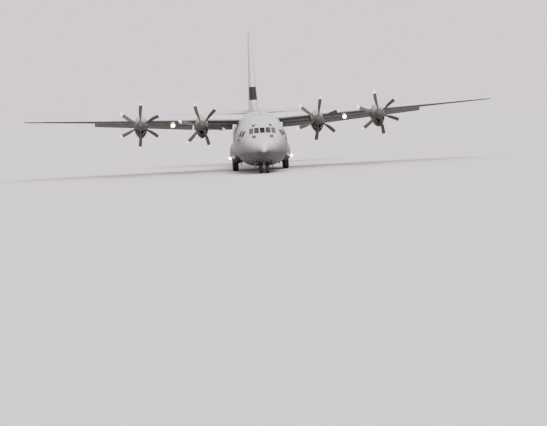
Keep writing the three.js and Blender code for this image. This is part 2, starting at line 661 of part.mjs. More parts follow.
function placeTailplane() {
  const bay = loft([590, 7715].map((x) => {
    const section = tailSection(x);
    return [[ELEVATOR_COVE, -0.3], [ELEVATOR_COVE, 0.3], [1.3, 0.3], [1.3, -0.3]].map(([u, v]) => section.point(u, v));
  }), 0);
  const voidHalf = loft([0, 7400].map((x) => {
    const section = tailSection(x);
    const thin = 40 / section.chord;
    const places = [0.55, 0.36, 0.2, 0.08];
    return [
      ...places.map((u) => section.point(u, upper(section, u) - thin)),
      ...[...places].reverse().map((u) => section.point(u, lower(section, u) + thin)),
    ];
  }), 0);
  const hatch = block(-200, 200, 25500, 26100, TAILPLANE_HEIGHT - 400, TAILPLANE_HEIGHT);
  const line = ELEVATOR.map(([x]) => tailSection(x).point(ELEVATOR_HINGE, 0));
  const bores = endPins(line, boreFor(HINGE_PIN), 62).map(bothSides);
  place('tailplane', cut(tailplaneLoft(), [bothSides(bay), bothSides(voidHalf), hatch, ...bores]), SKIN_GREY);

  // The inner end runs outwards to the trailing edge, clear of the rudder's swing.
  const ring = ([front, back]) => {
    const section = tailSection(front);
    const outline = controlRing(section, ELEVATOR_HINGE);
    const rear = tailSection(back);
    const tail = [rear.point(1, lower(rear, 1)), rear.point(1, upper(rear, 1))];
    return [...tail, ...outline.slice(2)];
  };
  placePair('elevator', joined([loft(ELEVATOR.map(ring), 0), ...endPins(line, HINGE_PIN, 56)]), SKIN_GREY);
}

// Fin and rudder: height, leading edge station, trailing edge station, thickness, rudder hinge station
const FIN_ROWS = [
  [4300, 22200, 29230, 0.14, 28060],
  [5060, 22650, 29140, 0.14, 28000],
  [11690, 26200, 28311, 0.13, 27437],
  [12250, 26980, 28131, 0.06, 27387],
];
const RUDDER = [5110, 11640];

function finSection(z) {
  const [, edge, back, ratio, hinge] = rowAt(FIN_ROWS, z);
  const chord = back - edge;
  return {
    chord, ratio, camber: 0, hinge: (hinge - edge) / chord,
    point: (u, v) => [v * chord, at(edge + u * chord), z],
  };
}

// The low fillet that runs forward from the fin's foot: station, top, half width
const FILLET_ROWS = [
  [19300, 4830, 60], [20600, 4960, 110], [21700, 5180, 170], [22500, 5560, 230], [23400, 5880, 250],
];
const AERIAL_PANEL = { z0: 5900, z1: 7100, back: 0.14 };
const FIN_SKIN = 35;

function placeFin() {
  const fillet = loft(FILLET_ROWS.map(([s, top, half]) => bodyRing([s, 4500, top, half, 4600, 2], 0, 12)), 1);
  const shape = loft(FIN_ROWS.map(([z]) => foilRing(finSection(z))), 2).add(fillet);
  const bay = loft([RUDDER[0] - 40, RUDDER[1] + 30].map((z) => {
    const section = finSection(z);
    const u = section.hinge - halfThickness(section.hinge, section.ratio) - 30 / section.chord;
    return [[u, -0.3], [u, 0.3], [1.4, 0.3], [1.4, -0.3]].map(([a, v]) => section.point(a, v));
  }), 2);
  const hollow = loft([4300, 10900].map((z) => {
    const section = finSection(z);
    const thin = FIN_SKIN / section.chord;
    const places = [section.hinge - 0.1, 0.5, 0.3, 0.14];
    return [
      ...places.map((u) => section.point(u, upper(section, u) - thin)),
      ...[...places].reverse().map((u) => section.point(u, lower(section, u) + thin)),
    ];
  }), 2);
  const bodyTop = bodyLoft(BODY_ROWS, -TOUCHING, 15000);
  const line = RUDDER.map((z) => {
    const section = finSection(z);
    return section.point(section.hinge, 0);
  });
  const bores = endPins(line, boreFor(HINGE_PIN), 76);
  const fin = cut(shape, [bay, hollow, bodyTop, tailplaneLoft(TOUCHING), ...bores]);
  const panelTool = (grow) => loft([AERIAL_PANEL.z0 - grow, AERIAL_PANEL.z1 + grow].map((z) => {
    const section = finSection(z);
    const back = AERIAL_PANEL.back + grow / section.chord;
    return [[-0.2, -0.2], [-0.2, 0.2], [back, 0.2], [back, -0.2]].map(([u, v]) => section.point(u, v));
  }), 2);
  place('fin', largestOf(fin.subtract(panelTool(TOUCHING))), SKIN_GREY);
  place('fin_aerial_panel', largestOf(fin.intersect(panelTool(0))), DARK_PANEL);

  const rudder = loft(RUDDER.map((z) => {
    const section = finSection(z);
    return controlRing(section, section.hinge);
  }), 2);
  place('rudder', joined([rudder, ...endPins(line, HINGE_PIN, 70)]), SKIN_GREY);
}

// Engines: number, place across the span, and how far each propeller has turned in the photo
const ENGINES = [
  { number: 1, x: 10160, turn: -11 },
  { number: 2, x: 4950, turn: 8 },
  { number: 3, x: -4950, turn: -18 },
  { number: 4, x: -10160, turn: 3 },
];
const INNER_SHAFT = 4160;
const shaftHeight = (x) => INNER_SHAFT + (Math.abs(x) - 4950) * WING_DIHEDRAL;
// Nacelle: station, half width, top and bottom from the shaft's line
const NACELLE_ROWS = [
  [7360, 440, 430, -890], [7480, 490, 480, -1010], [8200, 560, 600, -1140], [9200, 600, 700, -1150],
  [10100, 600, 770, -1060], [10700, 580, 790, -930], [11600, 510, 560, -710], [12500, 400, 330, -500],
  [13100, 270, 120, -330],
];
const ENGINE_BLOCK = { radius: 329, s0: 7480, s1: 9850 };
const SHAFT = { radius: 60, tip: 7040 };

function nacelle(x) {
  const z = shaftHeight(x);
  const rings = NACELLE_ROWS.map(([s, half, top, bottom]) => bodyRing(
    [s, z + bottom, z + top, half, z + (top + bottom) * 0.4, 2], 0, 16,
  ).map(([dx, y, dz]) => [dx + x, y, dz]));
  const bore = bar(ENGINE_BLOCK.radius + TOUCHING, [x, 7300, z], [x, ENGINE_BLOCK.s1, z], 16);
  const mouth = prism(
    [[-330, -470], [330, -470], [360, -560], [230, -700], [-230, -700], [-360, -560]]
      .map(([dx, dz]) => [dx + x, dz + z]), 1, 7300, 7900,
  );
  const pipe = bar(150, [x, 12900, z - 110], [x, 13400, z - 110], 12);
  const wing = wingLoft(0, TIP_START, TOUCHING);
  return cut(loft(rings, 1), [bore, mouth, pipe, x > 0 ? wing : flipped(wing)]);
}

function engineBlock(x) {
  const z = shaftHeight(x);
  return joined([
    bar(ENGINE_BLOCK.radius, [x, ENGINE_BLOCK.s0, z], [x, ENGINE_BLOCK.s1 - 20, z], 16),
    bar(SHAFT.radius, [x, SHAFT.tip, z], [x, ENGINE_BLOCK.s0 + 100, z]),
  ]);
}

// Propeller blade: radius, chord, thickness, pitch from the plane of rotation, backward sweep
const PROPELLER_RADIUS = 2057;
const BLADE_ROWS = [
  [330, 170, 150, 52, 0], [620, 210, 110, 48, 0], [1050, 340, 52, 36, -20],
  [1600, 340, 30, 26, 10], [1900, 270, 20, 22, 60], [PROPELLER_RADIUS, 130, 12, 20, 120],
];
const BLADE_OUTLINE = [[0.5, 0], [0.2, 0.45], [-0.5, 0.06], [-0.5, -0.06], [0.2, -0.45]];
const BLADE_PLANE = 7050;
const SPINNER_PROFILE = [
  [0, 6480], [140, 6515], [270, 6630], [380, 6830], [430, 7080], [430, 7330], [0, 7330],
];

function blade(angle) {
  const turn = degrees(angle);
  const rings = BLADE_ROWS.map(([radius, chord, thick, pitch, sweep]) => BLADE_OUTLINE.map(([c, t]) => {
    const slope = degrees(pitch);
    const along = c * chord - sweep;
    const edge = along * Math.cos(slope) - t * thick * Math.sin(slope);
    const forward = along * Math.sin(slope) + t * thick * Math.cos(slope);
    return [edge, radius, forward];
  }));
  const upright = rings.map((ring) => ring.map(([edge, radius, forward]) => [
    radius * Math.sin(turn) - edge * Math.cos(turn),
    at(BLADE_PLANE) - forward,
    radius * Math.cos(turn) + edge * Math.sin(turn),
  ]));
  return loft(upright, Math.abs(Math.sin(turn)) > 0.7 ? 0 : 2);
}

const BLADES = 6;
function propeller(x, turn) {
  const z = shaftHeight(x);
  const profile = SPINNER_PROFILE.map(([r, s]) => [r, at(s)]);
  const spinner = solid(turned(profile, 16, new THREE.Vector3(0, 1, 0)));
  const blades = Array.from({ length: BLADES }, (_, k) => blade(turn + (360 / BLADES) * k));
  const bore = bar(boreFor(SHAFT.radius), [0, SHAFT.tip - 12, 0], [0, 7400, 0]);
  const shape = joined([spinner, ...blades]).subtract(bore);
  return geometryOf(shape).translate(x, 0, z);
}

function placeEngines() {
  ENGINES.forEach(({ number, x, turn }) => {
    place(`nacelle_${number}`, nacelle(x), SKIN_GREY);
    place(`engine_${number}`, engineBlock(x), ENGINE_METAL);
    place(`propeller_${number}`, propeller(x, turn), BLADE_BLACK);
  });
}

// Wheels: radius, half width, rim radius, bore
const NOSE_WHEEL = { radius: 495, half: 150, rim: 215, s: 2300, x: 265 };
const MAIN_WHEEL = { radius: 710, half: 250, rim: 300, s: [11300, 12840], x: 2175 };
const AXLE = 62;
const AXLE_BORE = boreFor(AXLE);
const TYRE_SIDES = 24;
const ACROSS = new THREE.Vector3(1, 0, 0);

function tyre({ radius, half, rim }) {
  const tread = half * 0.72;
  const seat = rim / Math.cos(Math.PI / TYRE_SIDES) + TOUCHING;
  return turned([
    [seat, -half * 0.7], [radius * 0.72, -half], [radius * 0.92, -half * 0.93], [radius, -tread],
    [radius, tread], [radius * 0.92, half * 0.93], [radius * 0.72, half], [seat, half * 0.7],
    [seat, -half * 0.7],
  ], TYRE_SIDES, ACROSS);
}

function hub({ half, rim }, bore = AXLE_BORE) {
  const web = half * 0.35;
  const deep = half * 0.68;
  return turned([
    [bore, -deep], [bore * 1.8, -web], [rim * 0.82, -web], [rim * 0.9, -deep], [rim, -deep],
    [rim, deep], [rim * 0.9, deep], [rim * 0.82, web], [bore * 1.8, web], [bore, deep], [bore, -deep],
  ], PIN_SIDES, ACROSS);
}

// Nose gear: a fixed leg in the well, the steered fork under it, and twin wheels on one turning axle
const STEER_TOP = 960;
const STEER_PIN = 60;
function placeNoseGear() {
  const { s, x, radius } = NOSE_WHEEL;
  const leg = joined([
    bar(105, [0, s, STEER_TOP + 20], [0, s, NOSE_WELL.top - TOUCHING], 16),
    bar(45, [0, s + 60, 1090], [0, s + 560, NOSE_WELL.top - 62], 8),
    block(-140, 140, s + 440, s + 640, NOSE_WELL.top - 90, NOSE_WELL.top - TOUCHING),
  ]);
  place('nose_leg', leg.subtract(bar(boreFor(STEER_PIN), [0, s, 0], [0, s, 1300])), GEAR_WHITE);
  const fork = joined([
    bar(STEER_PIN, [0, s, 560], [0, s, 1290]),
    block(-72, 72, s - 95, s + 95, radius - 80, radius + 150),
    bar(78, [0, s, 560], [0, s, STEER_TOP], 16),
  ]).subtract(bar(AXLE_BORE, [-200, s, radius], [200, s, radius]));
  place('nose_fork', fork, GEAR_WHITE);
  const rims = SIDES.map(([, side]) => solid(hub(NOSE_WHEEL, AXLE * 0.9).translate(side * x, at(s), radius)));
  const axle = bar(AXLE, [-x - 80, s, radius], [x + 80, s, radius]);
  place('nose_hubs', joined([axle, ...rims]), WHEEL_WHITE);
  const rubber = tyre(NOSE_WHEEL).translate(x, at(s), radius);
  placePair('nose_tyre', rubber, RUBBER);

  const outline = [[680, 1150], [719, 1150], [719, 640], [800, 400], [770, 385], [686, 610]];
  placePair('nose_gear_door', prism(outline, 1, NOSE_WELL.s0 + 30, NOSE_WELL.s1 - 30), SKIN_GREY);
}

// Main gear: each side has two wheels in line, each on its own leg, with a beam between the legs
function placeMainGear() {
  const { s: stations, x, radius, half } = MAIN_WHEEL;
  const legPlace = 1830;
  const inner = x - half;
  const frame = joined([
    ...stations.map((s) => bar(62, [legPlace, s, radius - 60], [legPlace, s, WHEEL_WELL.top - TOUCHING], 16)),
    ...stations.map((s) => bar(AXLE, [legPlace - 40, s, radius], [x + half * 0.72, s, radius])),
    ...stations.map((s) => block(legPlace - 66, inner - CLEARANCE * 1.4, s - 100, s + 100, radius - 90, radius + 90)),
    bar(45, [legPlace, stations[0], 1180], [legPlace, stations[1], 1180], 10),
  ]);
  placePair('main_gear_frame', frame, GEAR_WHITE);
  stations.forEach((s, k) => {
    const word = ['front', 'rear'][k];
    placePair(`main_hub_${word}`, hub(MAIN_WHEEL).translate(x, at(s), radius), WHEEL_WHITE);
    placePair(`main_tyre_${word}`, tyre(MAIN_WHEEL).translate(x, at(s), radius), RUBBER);
  });
  const door = [[1700 + TOUCHING, 1260], [1728, 1260], [1728, 985], [1640, 430], [1606, 436], [1690, 990]];
  placePair('main_gear_door', prism(door, 1, WHEEL_WELL.s0 + 20, WHEEL_WELL.s1 - 20).subtract(wholeBody), SKIN_GREY);
}

placeNose();
placeFlightDeck();
placeCentre();
placeSponsons();
placeTail();
placeTailplane();
placeFin();
placeWings();
placeEngines();
placeNoseGear();
placeMainGear();

export default aircraft;
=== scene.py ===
# %% [markdown]
# # A military transport plane at half size
# This lesson dresses a plane that already exists as plain solids. The solids are exact in size but made
# of flat facets, so the big skins are lofted again with many more points, through the same tables of
# numbers. What the solids leave out is added: lamps, aerials, pipes, hatches, tyre grooves and paint.

# %% Load the frame and keep its box
import math
import bmesh
import bpy
from mathutils import Matrix, Vector


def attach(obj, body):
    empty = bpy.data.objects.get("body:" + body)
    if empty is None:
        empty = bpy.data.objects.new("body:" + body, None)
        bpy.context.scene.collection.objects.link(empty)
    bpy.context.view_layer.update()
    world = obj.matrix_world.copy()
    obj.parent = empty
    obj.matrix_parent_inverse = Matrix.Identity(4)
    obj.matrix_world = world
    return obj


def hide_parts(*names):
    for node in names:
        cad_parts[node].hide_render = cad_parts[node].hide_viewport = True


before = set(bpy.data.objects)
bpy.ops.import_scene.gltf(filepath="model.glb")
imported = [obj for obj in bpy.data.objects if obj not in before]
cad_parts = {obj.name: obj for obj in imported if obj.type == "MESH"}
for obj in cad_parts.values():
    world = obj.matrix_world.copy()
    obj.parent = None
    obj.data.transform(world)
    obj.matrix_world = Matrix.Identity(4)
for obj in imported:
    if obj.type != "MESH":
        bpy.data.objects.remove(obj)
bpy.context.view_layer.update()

# %% [markdown]
# ## Sizes
# A plane is drawn with stations, distances behind the tip of its nose. Every table here is in
# millimetres of the full aircraft, as in the solids, and `spot` turns a place into metres of the model.

# %% Places on the aircraft
LENGTH = 29790
HALF_SPAN = 20205
MODEL_SCALE = 0.5
MM = MODEL_SCALE / 1000


def spot(x, station, z):
    return Vector((x, station - LENGTH / 2, z)) * MM


def place_of(point):
    """The opposite of spot: x, station and height of a point in the model."""
    return point.x / MM, point.y / MM + LENGTH / 2, point.z / MM


def mix(a, b, share):
    return a + (b - a) * share


def placed(name, data):
    """A new object in the scene that carries a mesh, a lamp or a camera."""
    made = bpy.data.objects.new(name, data)
    bpy.context.collection.objects.link(made)
    return made


print("model", 2 * HALF_SPAN * MM, "m across and", LENGTH * MM, "m long")

# %% [markdown]
# ## The camera
# The photograph was taken from far away with a long lens, almost straight along the nose. The plane
# was banked a little, so the camera is rolled by the same few degrees and the model can stand level.

# %% Camera at the photograph's angle
PHOTO_WIDTH, FOCAL_PIXELS, SENSOR = 547, 2845, 36
camera_data = bpy.data.cameras.new("camera")
camera_data.sensor_width = SENSOR
camera_data.lens = FOCAL_PIXELS * SENSOR / PHOTO_WIDTH
camera_data.clip_end = 1000
camera = placed("camera", camera_data)
distance, bearing, height = 124.84, math.radians(-1.714), 4.5
yaw, pitch, roll = (math.radians(a) for a in (-1.945, -2.98, -2.9496))
ahead = Vector((-math.sin(yaw) * math.cos(pitch), math.cos(yaw) * math.cos(pitch), math.sin(pitch)))
right = ahead.cross(Vector((0, 0, 1))).normalized()
above = right.cross(ahead)
across = right * math.cos(roll) + above * math.sin(roll)
above = across.cross(ahead)
turn = Matrix((across, above, -ahead)).transposed().to_4x4()
camera.matrix_world = Matrix.Translation(
    (math.sin(bearing) * distance, -math.cos(bearing) * distance, height)
) @ turn
bpy.context.scene.camera = camera
print("lens", round(camera_data.lens, 1))

# %% [markdown]
# ## Light and floor
# Soft studio light shows form without hard shadows: a bright even sky, one wide sun and a pale floor.
# The sky is a little pink, which keeps the greys from looking cold.

# %% World, sun and floor
world = bpy.data.worlds.new("studio")
bpy.context.scene.world = world
world.use_nodes = True
sky = world.node_tree.nodes["Background"].inputs
sky["Color"].default_value = (1.0, 0.88, 0.97, 1)
sky["Strength"].default_value = 1.4


def sun(name, energy, spread, direction):
    light = bpy.data.lights.new(name, "SUN")
    light.energy = energy
    light.angle = math.radians(spread)
    placed(name, light).rotation_euler = Vector(direction).to_track_quat("-Z", "Y").to_euler()


sun("high_sun", energy=5.0, spread=45, direction=(-0.3, 0.6, -1))

FLOOR_RADIUS = 140
floor_mesh = bmesh.new()
bmesh.ops.create_circle(floor_mesh, cap_ends=True, segments=96, radius=FLOOR_RADIUS)
floor_data = bpy.data.meshes.new("floor")
floor_mesh.to_mesh(floor_data)
floor = placed("floor", floor_data)
print("floor", 2 * FLOOR_RADIUS, "m wide")

# %% [markdown]
# ## Shader maths in plain Python
# Writing `noise * 0.3 + 0.5` is easier to read than three boxes and their wires. `Wire` wraps one
# socket and overloads the operators: an expression on wires adds the Math nodes that it needs.


# %% Wires
class Wire:
    def __init__(self, paint, socket):
        self.paint, self.socket = paint, socket

    def maths(self, operation, *values):
        return self.paint.node("ShaderNodeMath", {"operation": operation}, *values)

    def __add__(self, other):
        return self.maths("ADD", self, other)

    def __sub__(self, other):
        return self.maths("SUBTRACT", self, other)

    def __rsub__(self, other):
        return self.maths("SUBTRACT", other, self)

    def __mul__(self, other):
        return self.maths("MULTIPLY", self, other)

    def __lt__(self, other):
        return self.maths("LESS_THAN", self, other)

    def __abs__(self):
        return self.maths("ABSOLUTE", self)

    def wrapped(self, step):
        """Distance to the nearest of evenly spaced lines."""
        return self.maths("PINGPONG", self, step / 2)

    def most(self, other):
        return self.maths("MAXIMUM", self, other)

    __radd__ = __add__
    __rmul__ = __mul__


# %% [markdown]
# `Paint` holds one material and makes its nodes. It starts with what most finishes ask for: the place
# on the piece along x, y and z, and how far a face looks back and up.


# %% Paints
class Paint:
    def __init__(self, name):
        self.material = bpy.data.materials.new(name)
        self.material.use_nodes = True
        self.tree = self.material.node_tree
        self.shader = self.tree.nodes["Principled BSDF"]
        self.place = self.node("ShaderNodeTexCoord", output="Object")
        self.x, self.y, self.z = (self.node("ShaderNodeSeparateXYZ", {}, self.place, output=k) for k in "XYZ")
        facing = self.node("ShaderNodeTexCoord", output="Normal")
        self.back, self.up = (self.node("ShaderNodeSeparateXYZ", {}, facing, output=k) for k in "YZ")

    def feed(self, socket, value):
        """Links a wire to a socket, or sets the socket's own value."""
        if isinstance(value, Wire):
            self.tree.links.new(value.socket, socket)
        else:
            socket.default_value = value

    def node(self, kind, settings=None, *values, output=0, **named):
        made = self.tree.nodes.new(kind)
        for key, value in (settings or {}).items():
            setattr(made, key, value)
        for key, value in [*enumerate(values), *named.items()]:
            self.feed(made.inputs[key], value)
        return Wire(self, made.outputs[output])

    def noise(self, scale, detail=3, stretch=None):
        place = self.place
        if stretch:
            place = self.node("ShaderNodeMapping", {}, place, Scale=stretch)
        return self.node("ShaderNodeTexNoise", {}, place, Scale=scale, Detail=detail)

    def blend(self, share, first, second):
        """Mixes two colours; of the Mix node's many sockets only the enabled ones count."""
        made = self.tree.nodes.new("ShaderNodeMix")
        made.data_type = "RGBA"
        slots = {"Factor": share, "A": first, "B": second}
        for socket in made.inputs:
            if socket.name in slots and socket.enabled:
                self.feed(socket, slots[socket.name])
        return Wire(self, next(o for o in made.outputs if o.type == "RGBA"))

    def set(self, **sockets):
        for key, value in sockets.items():
            self.feed(self.shader.inputs[key.replace("_", " ")], value)
        return self

    def bump(self, height, strength=0.3, distance=0.002):
        made = self.node("ShaderNodeBump", {}, Strength=strength, Distance=distance, Height=height)
        return self.set(Normal=made)


def shade(level, tint=(1, 1, 1)):
    return (level * tint[0], level * tint[1], level * tint[2], 1)


# %% [markdown]
# ## Paint
# The airframe is one flat grey. Up close such paint is never even: sheets are riveted edge to edge, so
# there are fine dark joints at every frame, the grey drifts from sheet to sheet, and grime runs back
# with the wind. Whatever faces the ground gets a painted shade, so the grey also follows the surface's
# own normal, which stays with the piece when it moves. Flat tops get a painted shade too, so they are
# darker than the edges that meet the wind.

# %% Greys for the skins
COOL = (1.0, 1.0, 0.98)
WARM = (1.0, 0.985, 0.93)
# Tint of the painted shade on faces that look down
SHADE_TINT = (0.84, 1.0, 0.68)
JOINT_HALF = 0.0035


def skin(name, top, under, joints, rough=0.5, grime=0.35, stretch=(3, 0.5, 3), turn=0.5, prow=0,
         gloss=0.5, top_shade=0.55):
    """Painted sheet with a joint every so many metres along x, y and z; 0 leaves an axis out.
    Painted shade darkens a face whose upward share falls to turn, to the grey under; prow keeps it off
    what looks ahead, and the last argument sets how dark the painted shade on flat tops is."""
    paint = Paint(name)
    drift = paint.noise(1.1, 2)
    streaks = paint.noise(4.0, 5, stretch)
    speck = paint.noise(60.0, 2)
    lines = None
    for wire, step in zip((paint.x, paint.y, paint.z), joints):
        if step:
            line = wire.wrapped(step) < JOINT_HALF
            lines = line if lines is None else lines.most(line)
    clean = paint.blend(drift, shade(top * 0.93, COOL), shade(top * 1.06, WARM))
    dirt_and_top_shade = paint.blend((streaks * 1.8 - 0.75) * grime, clean, shade(top * 0.45, WARM))
    # Painted shade on flat tops that look up and back, darker than the edges ahead
    wear_and_top_shade = (paint.up + paint.back * 1.2 - 0.82) * 4
    dirt_and_top_shade = paint.blend(wear_and_top_shade, dirt_and_top_shade, shade(top * top_shade, WARM))
    # Painted shade on faces that look down, kept off what looks ahead by prow
    painted_shade = turn - paint.up + drift * 0.2 - 0.1
    if prow:
        painted_shade = painted_shade - (paint.back * -1 - 0.82).most(0) * prow
    with_painted_shade = paint.blend(painted_shade, dirt_and_top_shade, shade(under, SHADE_TINT))
    final = with_painted_shade if lines is None else paint.blend(lines * 0.5, with_painted_shade, shade(min(under, 0.12)))
    paint.set(Base_Color=final, Roughness=streaks * 0.2 + rough - 0.08, Specular_IOR_Level=gloss)
    relief = speck * 0.05 if lines is None else speck * 0.05 - lines
    return paint.bump(relief, 0.25).material


# Each skin's second grey is its painted shade on faces that look down; the nacelles carry it on all but their
# tops.
body_grey = skin("body_grey", 0.44, 0.035, (0, 0.52, 0.41), turn=0.7)
wing_grey = skin("wing_grey", 0.50, 0.042, (0.62, 0.55, 0), stretch=(2.5, 0.4, 2))
tail_grey = skin("tail_grey", 0.46, 0.36, (0.58, 0.47, 0.62), turn=0.25)
flap_grey = skin("flap_grey", 0.42, 0.042, (0.66, 0, 0), grime=0.6, stretch=(3, 0.5, 1))
radome_grey = skin("radome_grey", 0.455, 0.035, (0, 0, 0), rough=0.42, grime=0.2, turn=0.7, prow=9)
edge_grey = skin("edge_grey", 0.62, 0.2, (0.62, 0, 0), rough=0.4, grime=0.25)
nacelle_grey = skin("nacelle_grey", 0.36, 0.035, (0, 0.33, 0), grime=0.5, stretch=(5, 0.6, 5), turn=1.05,
                    gloss=0.15)
door_grey = skin("door_grey", 0.10, 0.04, (0, 0.4, 0), grime=0.5)
print("skin paints", [material.name for material in bpy.data.materials])

# %% [markdown]
# Smaller finishes need fewer words: glass, rubber, gloss enamel on the gear, dark composite blades,
# bare metal where exhaust scorches it, and lamps that give light of their own.


# %% Other finishes
def plain(name, level, rough, tint=(1, 1, 1), metal=0.0, wear=0.3, scale=9.0, gloss=0.5):
    """An even finish that still varies: blotches, fine speckle and a slightly uneven gloss."""
    paint = Paint(name)
    blotch = paint.noise(scale, 4)
    speck = paint.noise(scale * 14, 2)
    wear_and_top_shade = paint.blend(blotch * wear, shade(level, tint), shade(level * 0.5, tint))
    paint.set(Base_Color=wear_and_top_shade, Roughness=blotch * 0.2 + rough - 0.1, Metallic=metal, Specular_IOR_Level=gloss)
    return paint.bump(speck, 0.12).material


def lamp(name, tint, strength):
    paint = Paint(name)
    paint.set(Base_Color=(*tint, 1), Roughness=0.1)
    paint.set(Emission_Color=(*tint, 1), Emission_Strength=strength)
    return paint.material


floor_data.materials.append(plain("studio_floor", 0.52, 0.8, (1, 0.95, 0.985), wear=0.04, scale=0.3))
rubber = plain("tyre_rubber", 0.022, 0.8, wear=0.5, scale=20)
gear_enamel = plain("gear_enamel", 0.55, 0.35, scale=12)
wheel_enamel = plain("wheel_enamel", 0.6, 0.35, scale=14)
cabin_primer = plain("cabin_primer", 0.42, 0.65, (0.95, 1, 0.96))
floor_metal = plain("floor_metal", 0.22, 0.45, metal=0.6, wear=0.5)
engine_metal = plain("engine_metal", 0.18, 0.4, metal=0.9)
scorched = plain("scorched_metal", 0.09, 0.45, (1.1, 0.95, 0.85), metal=0.8)
blade_black = plain("blade_black", 0.05, 0.5, (1.04, 1, 0.84), gloss=0.2)
spinner_grey = plain("spinner_grey", 0.06, 0.5, (0.9, 1, 0.78), gloss=0.2)
blade_tip = plain("blade_tip", 0.9, 0.45, (1, 0.99, 0.96), wear=0.15)
dark_panel = plain("dark_panel", 0.022, 0.7, (1, 1.05, 0.95), gloss=0.2)
seal_black = plain("seal_black", 0.012, 0.7)
strut_chrome = plain("strut_chrome", 0.7, 0.12, metal=1.0, wear=0.1)
landing_lamp = lamp("landing_lamp", (1.0, 0.86, 0.6), 26)
red_lamp = lamp("red_lamp", (0.6, 0.02, 0.015), 0.3)
green_lamp = lamp("green_lamp", (0.02, 0.45, 0.15), 0.3)

# Panes beside the middle one get a paler painted reflection of the sky, over a little random haze
glass_paint = Paint("cockpit_glass")
aside = abs(glass_paint.x)
haze_and_painted_reflection = glass_paint.noise(3.0, 2) * 0.3 + (aside - 0.15) * 2.2 * (aside < 0.6)
glass_paint.set(Base_Color=glass_paint.blend(haze_and_painted_reflection, shade(0.004), shade(0.09, WARM)), Roughness=0.08,
                Specular_IOR_Level=0.35)
glass = glass_paint.material
print("finishes", len(bpy.data.materials))

# %% [markdown]
# ## How the skins are made
# A loft is a skin pulled over rings, as cloth over the ribs of a kite. The first ring starts as a
# circle, whose points are moved on to the section, and each next ring is extruded from the last one.


# %% Lofts
def ring_of(mesh, points):
    verts = bmesh.ops.create_circle(mesh, segments=len(points), radius=1)["verts"]
    for vert, point in zip(verts, points):
        vert.co = point
    return verts


def grow_ring(mesh, ring, points):
    rim = [e for v in ring for e in v.link_edges if e.other_vert(v) in ring]
    grown = bmesh.ops.extrude_edge_only(mesh, edges=list(set(rim)))["geom"]
    fresh = {part for part in grown if isinstance(part, bmesh.types.BMVert)}
    following = [next(e.other_vert(v) for e in v.link_edges if e.other_vert(v) in fresh) for v in ring]
    for vert, point in zip(following, points):
        vert.co = point
    return following


def close_ring(mesh, ring):
    members = set(ring)
    rim = {e for v in ring for e in v.link_edges if e.other_vert(v) in members}
    bmesh.ops.contextual_create(mesh, geom=list(rim))


def loft(rings, mesh=None, capped=True):
    """Adds a closed skin through rings of points to a mesh, as an island of its own."""
    mesh = mesh or bmesh.new()
    ring = first = ring_of(mesh, rings[0])
    for points in rings[1:]:
        ring = grow_ring(mesh, ring, points)
    if capped:
        close_ring(mesh, first)
        close_ring(mesh, ring)
    return mesh


# %% [markdown]
# Most small parts are an outline pushed straight, or a round bar. What comes in pairs is made once, on
# the plane's left, and then mirrored. Anything round asks `turns_of` for its angles.


# %% Prisms, bars and mirror images
def prism(outline, axis, start, end, mesh=None):
    """An outline pushed along x (0), station (1) or z (2); its numbers are the other two."""
    def place(along, p, q):
        return spot(*((along, p, q), (p, along, q), (p, q, along))[axis])
    return loft([[place(along, p, q) for p, q in outline] for along in (start, end)], mesh)


def round_rod(radius, start, end, mesh=None, sides=32, narrow=None):
    """A round bar from one place to another, which may be narrower at its end."""
    mesh = mesh or bmesh.new()
    a, b = spot(*start), spot(*end)
    turn = (b - a).to_track_quat("Z", "Y").to_matrix().to_4x4()
    bmesh.ops.create_cone(mesh, cap_ends=True, segments=sides, radius1=radius * MM,
                          radius2=(narrow or radius) * MM, depth=(b - a).length,
                          matrix=Matrix.Translation((a + b) / 2) @ turn)
    return mesh


def turns_of(count, offset=0):
    """The angles that share out a full turn evenly."""
    return [2 * math.pi * (k + offset) / count for k in range(count)]


def hoop(x, station, z, radius, sides=28, tall=1):
    """A ring of points facing along the flight, which may be taller than it is wide."""
    return [spot(x + radius * math.sin(a), station, z + radius * math.cos(a) * tall) for a in turns_of(sides)]


def rounded(outline, radius, steps=4):
    """The same outline with round corners."""
    points = [Vector(p) for p in outline]
    result = []
    for i, corner in enumerate(points):
        a, b = points[i - 1], points[(i + 1) % len(points)]
        start = corner + (a - corner).normalized() * radius
        end = corner + (b - corner).normalized() * radius
        for k in range(steps + 1):
            t = k / steps
            result.append(tuple(start * (1 - t) ** 2 + corner * 2 * t * (1 - t) + end * t ** 2))
    return result


def flipped(outline):
    return [(-x, z) for x, z in reversed(outline)]


def both_sides(mesh):
    """Adds the mirror image of everything in a mesh, about the plane's middle."""
    twins = bmesh.ops.duplicate(mesh, geom=mesh.verts[:] + mesh.edges[:] + mesh.faces[:])["geom"]
    mirrored = [part for part in twins if isinstance(part, bmesh.types.BMVert)]
    bmesh.ops.scale(mesh, vec=(-1, 1, 1), verts=mirrored)
    return mesh


print("a wedge and its twin have", len(both_sides(prism([(1, 0), (2, 0), (2, 1)], 0, 1, 2)).faces), "faces")

# %% [markdown]
# A finished mesh becomes a piece: it gets its material, smooth shading with crisp edges, the body it
# rides on and the solids it stands for.


# %% From mesh to piece
def thing(name, mesh):
    """A plain object from a mesh in progress, with its faces turned outwards."""
    bmesh.ops.recalc_face_normals(mesh, faces=mesh.faces)
    data = bpy.data.meshes.new(name)
    mesh.to_mesh(data)
    mesh.free()
    return placed(name, data)


def dress(made, material, body="airframe", replaces=(), angle=32):
    made.data.materials.clear()
    made.data.materials.append(material)
    for face in made.data.polygons:
        face.use_smooth = True
    made.data.set_sharp_from_angle(angle=math.radians(angle))
    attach(made, body)
    if replaces:
        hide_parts(*replaces)
    print(made.name, "has", len(made.data.polygons), "faces and rides on", body)
    return made


def piece(name, mesh, material, body="airframe", replaces=(), angle=32):
    return dress(thing(name, mesh), material, body, replaces, angle)


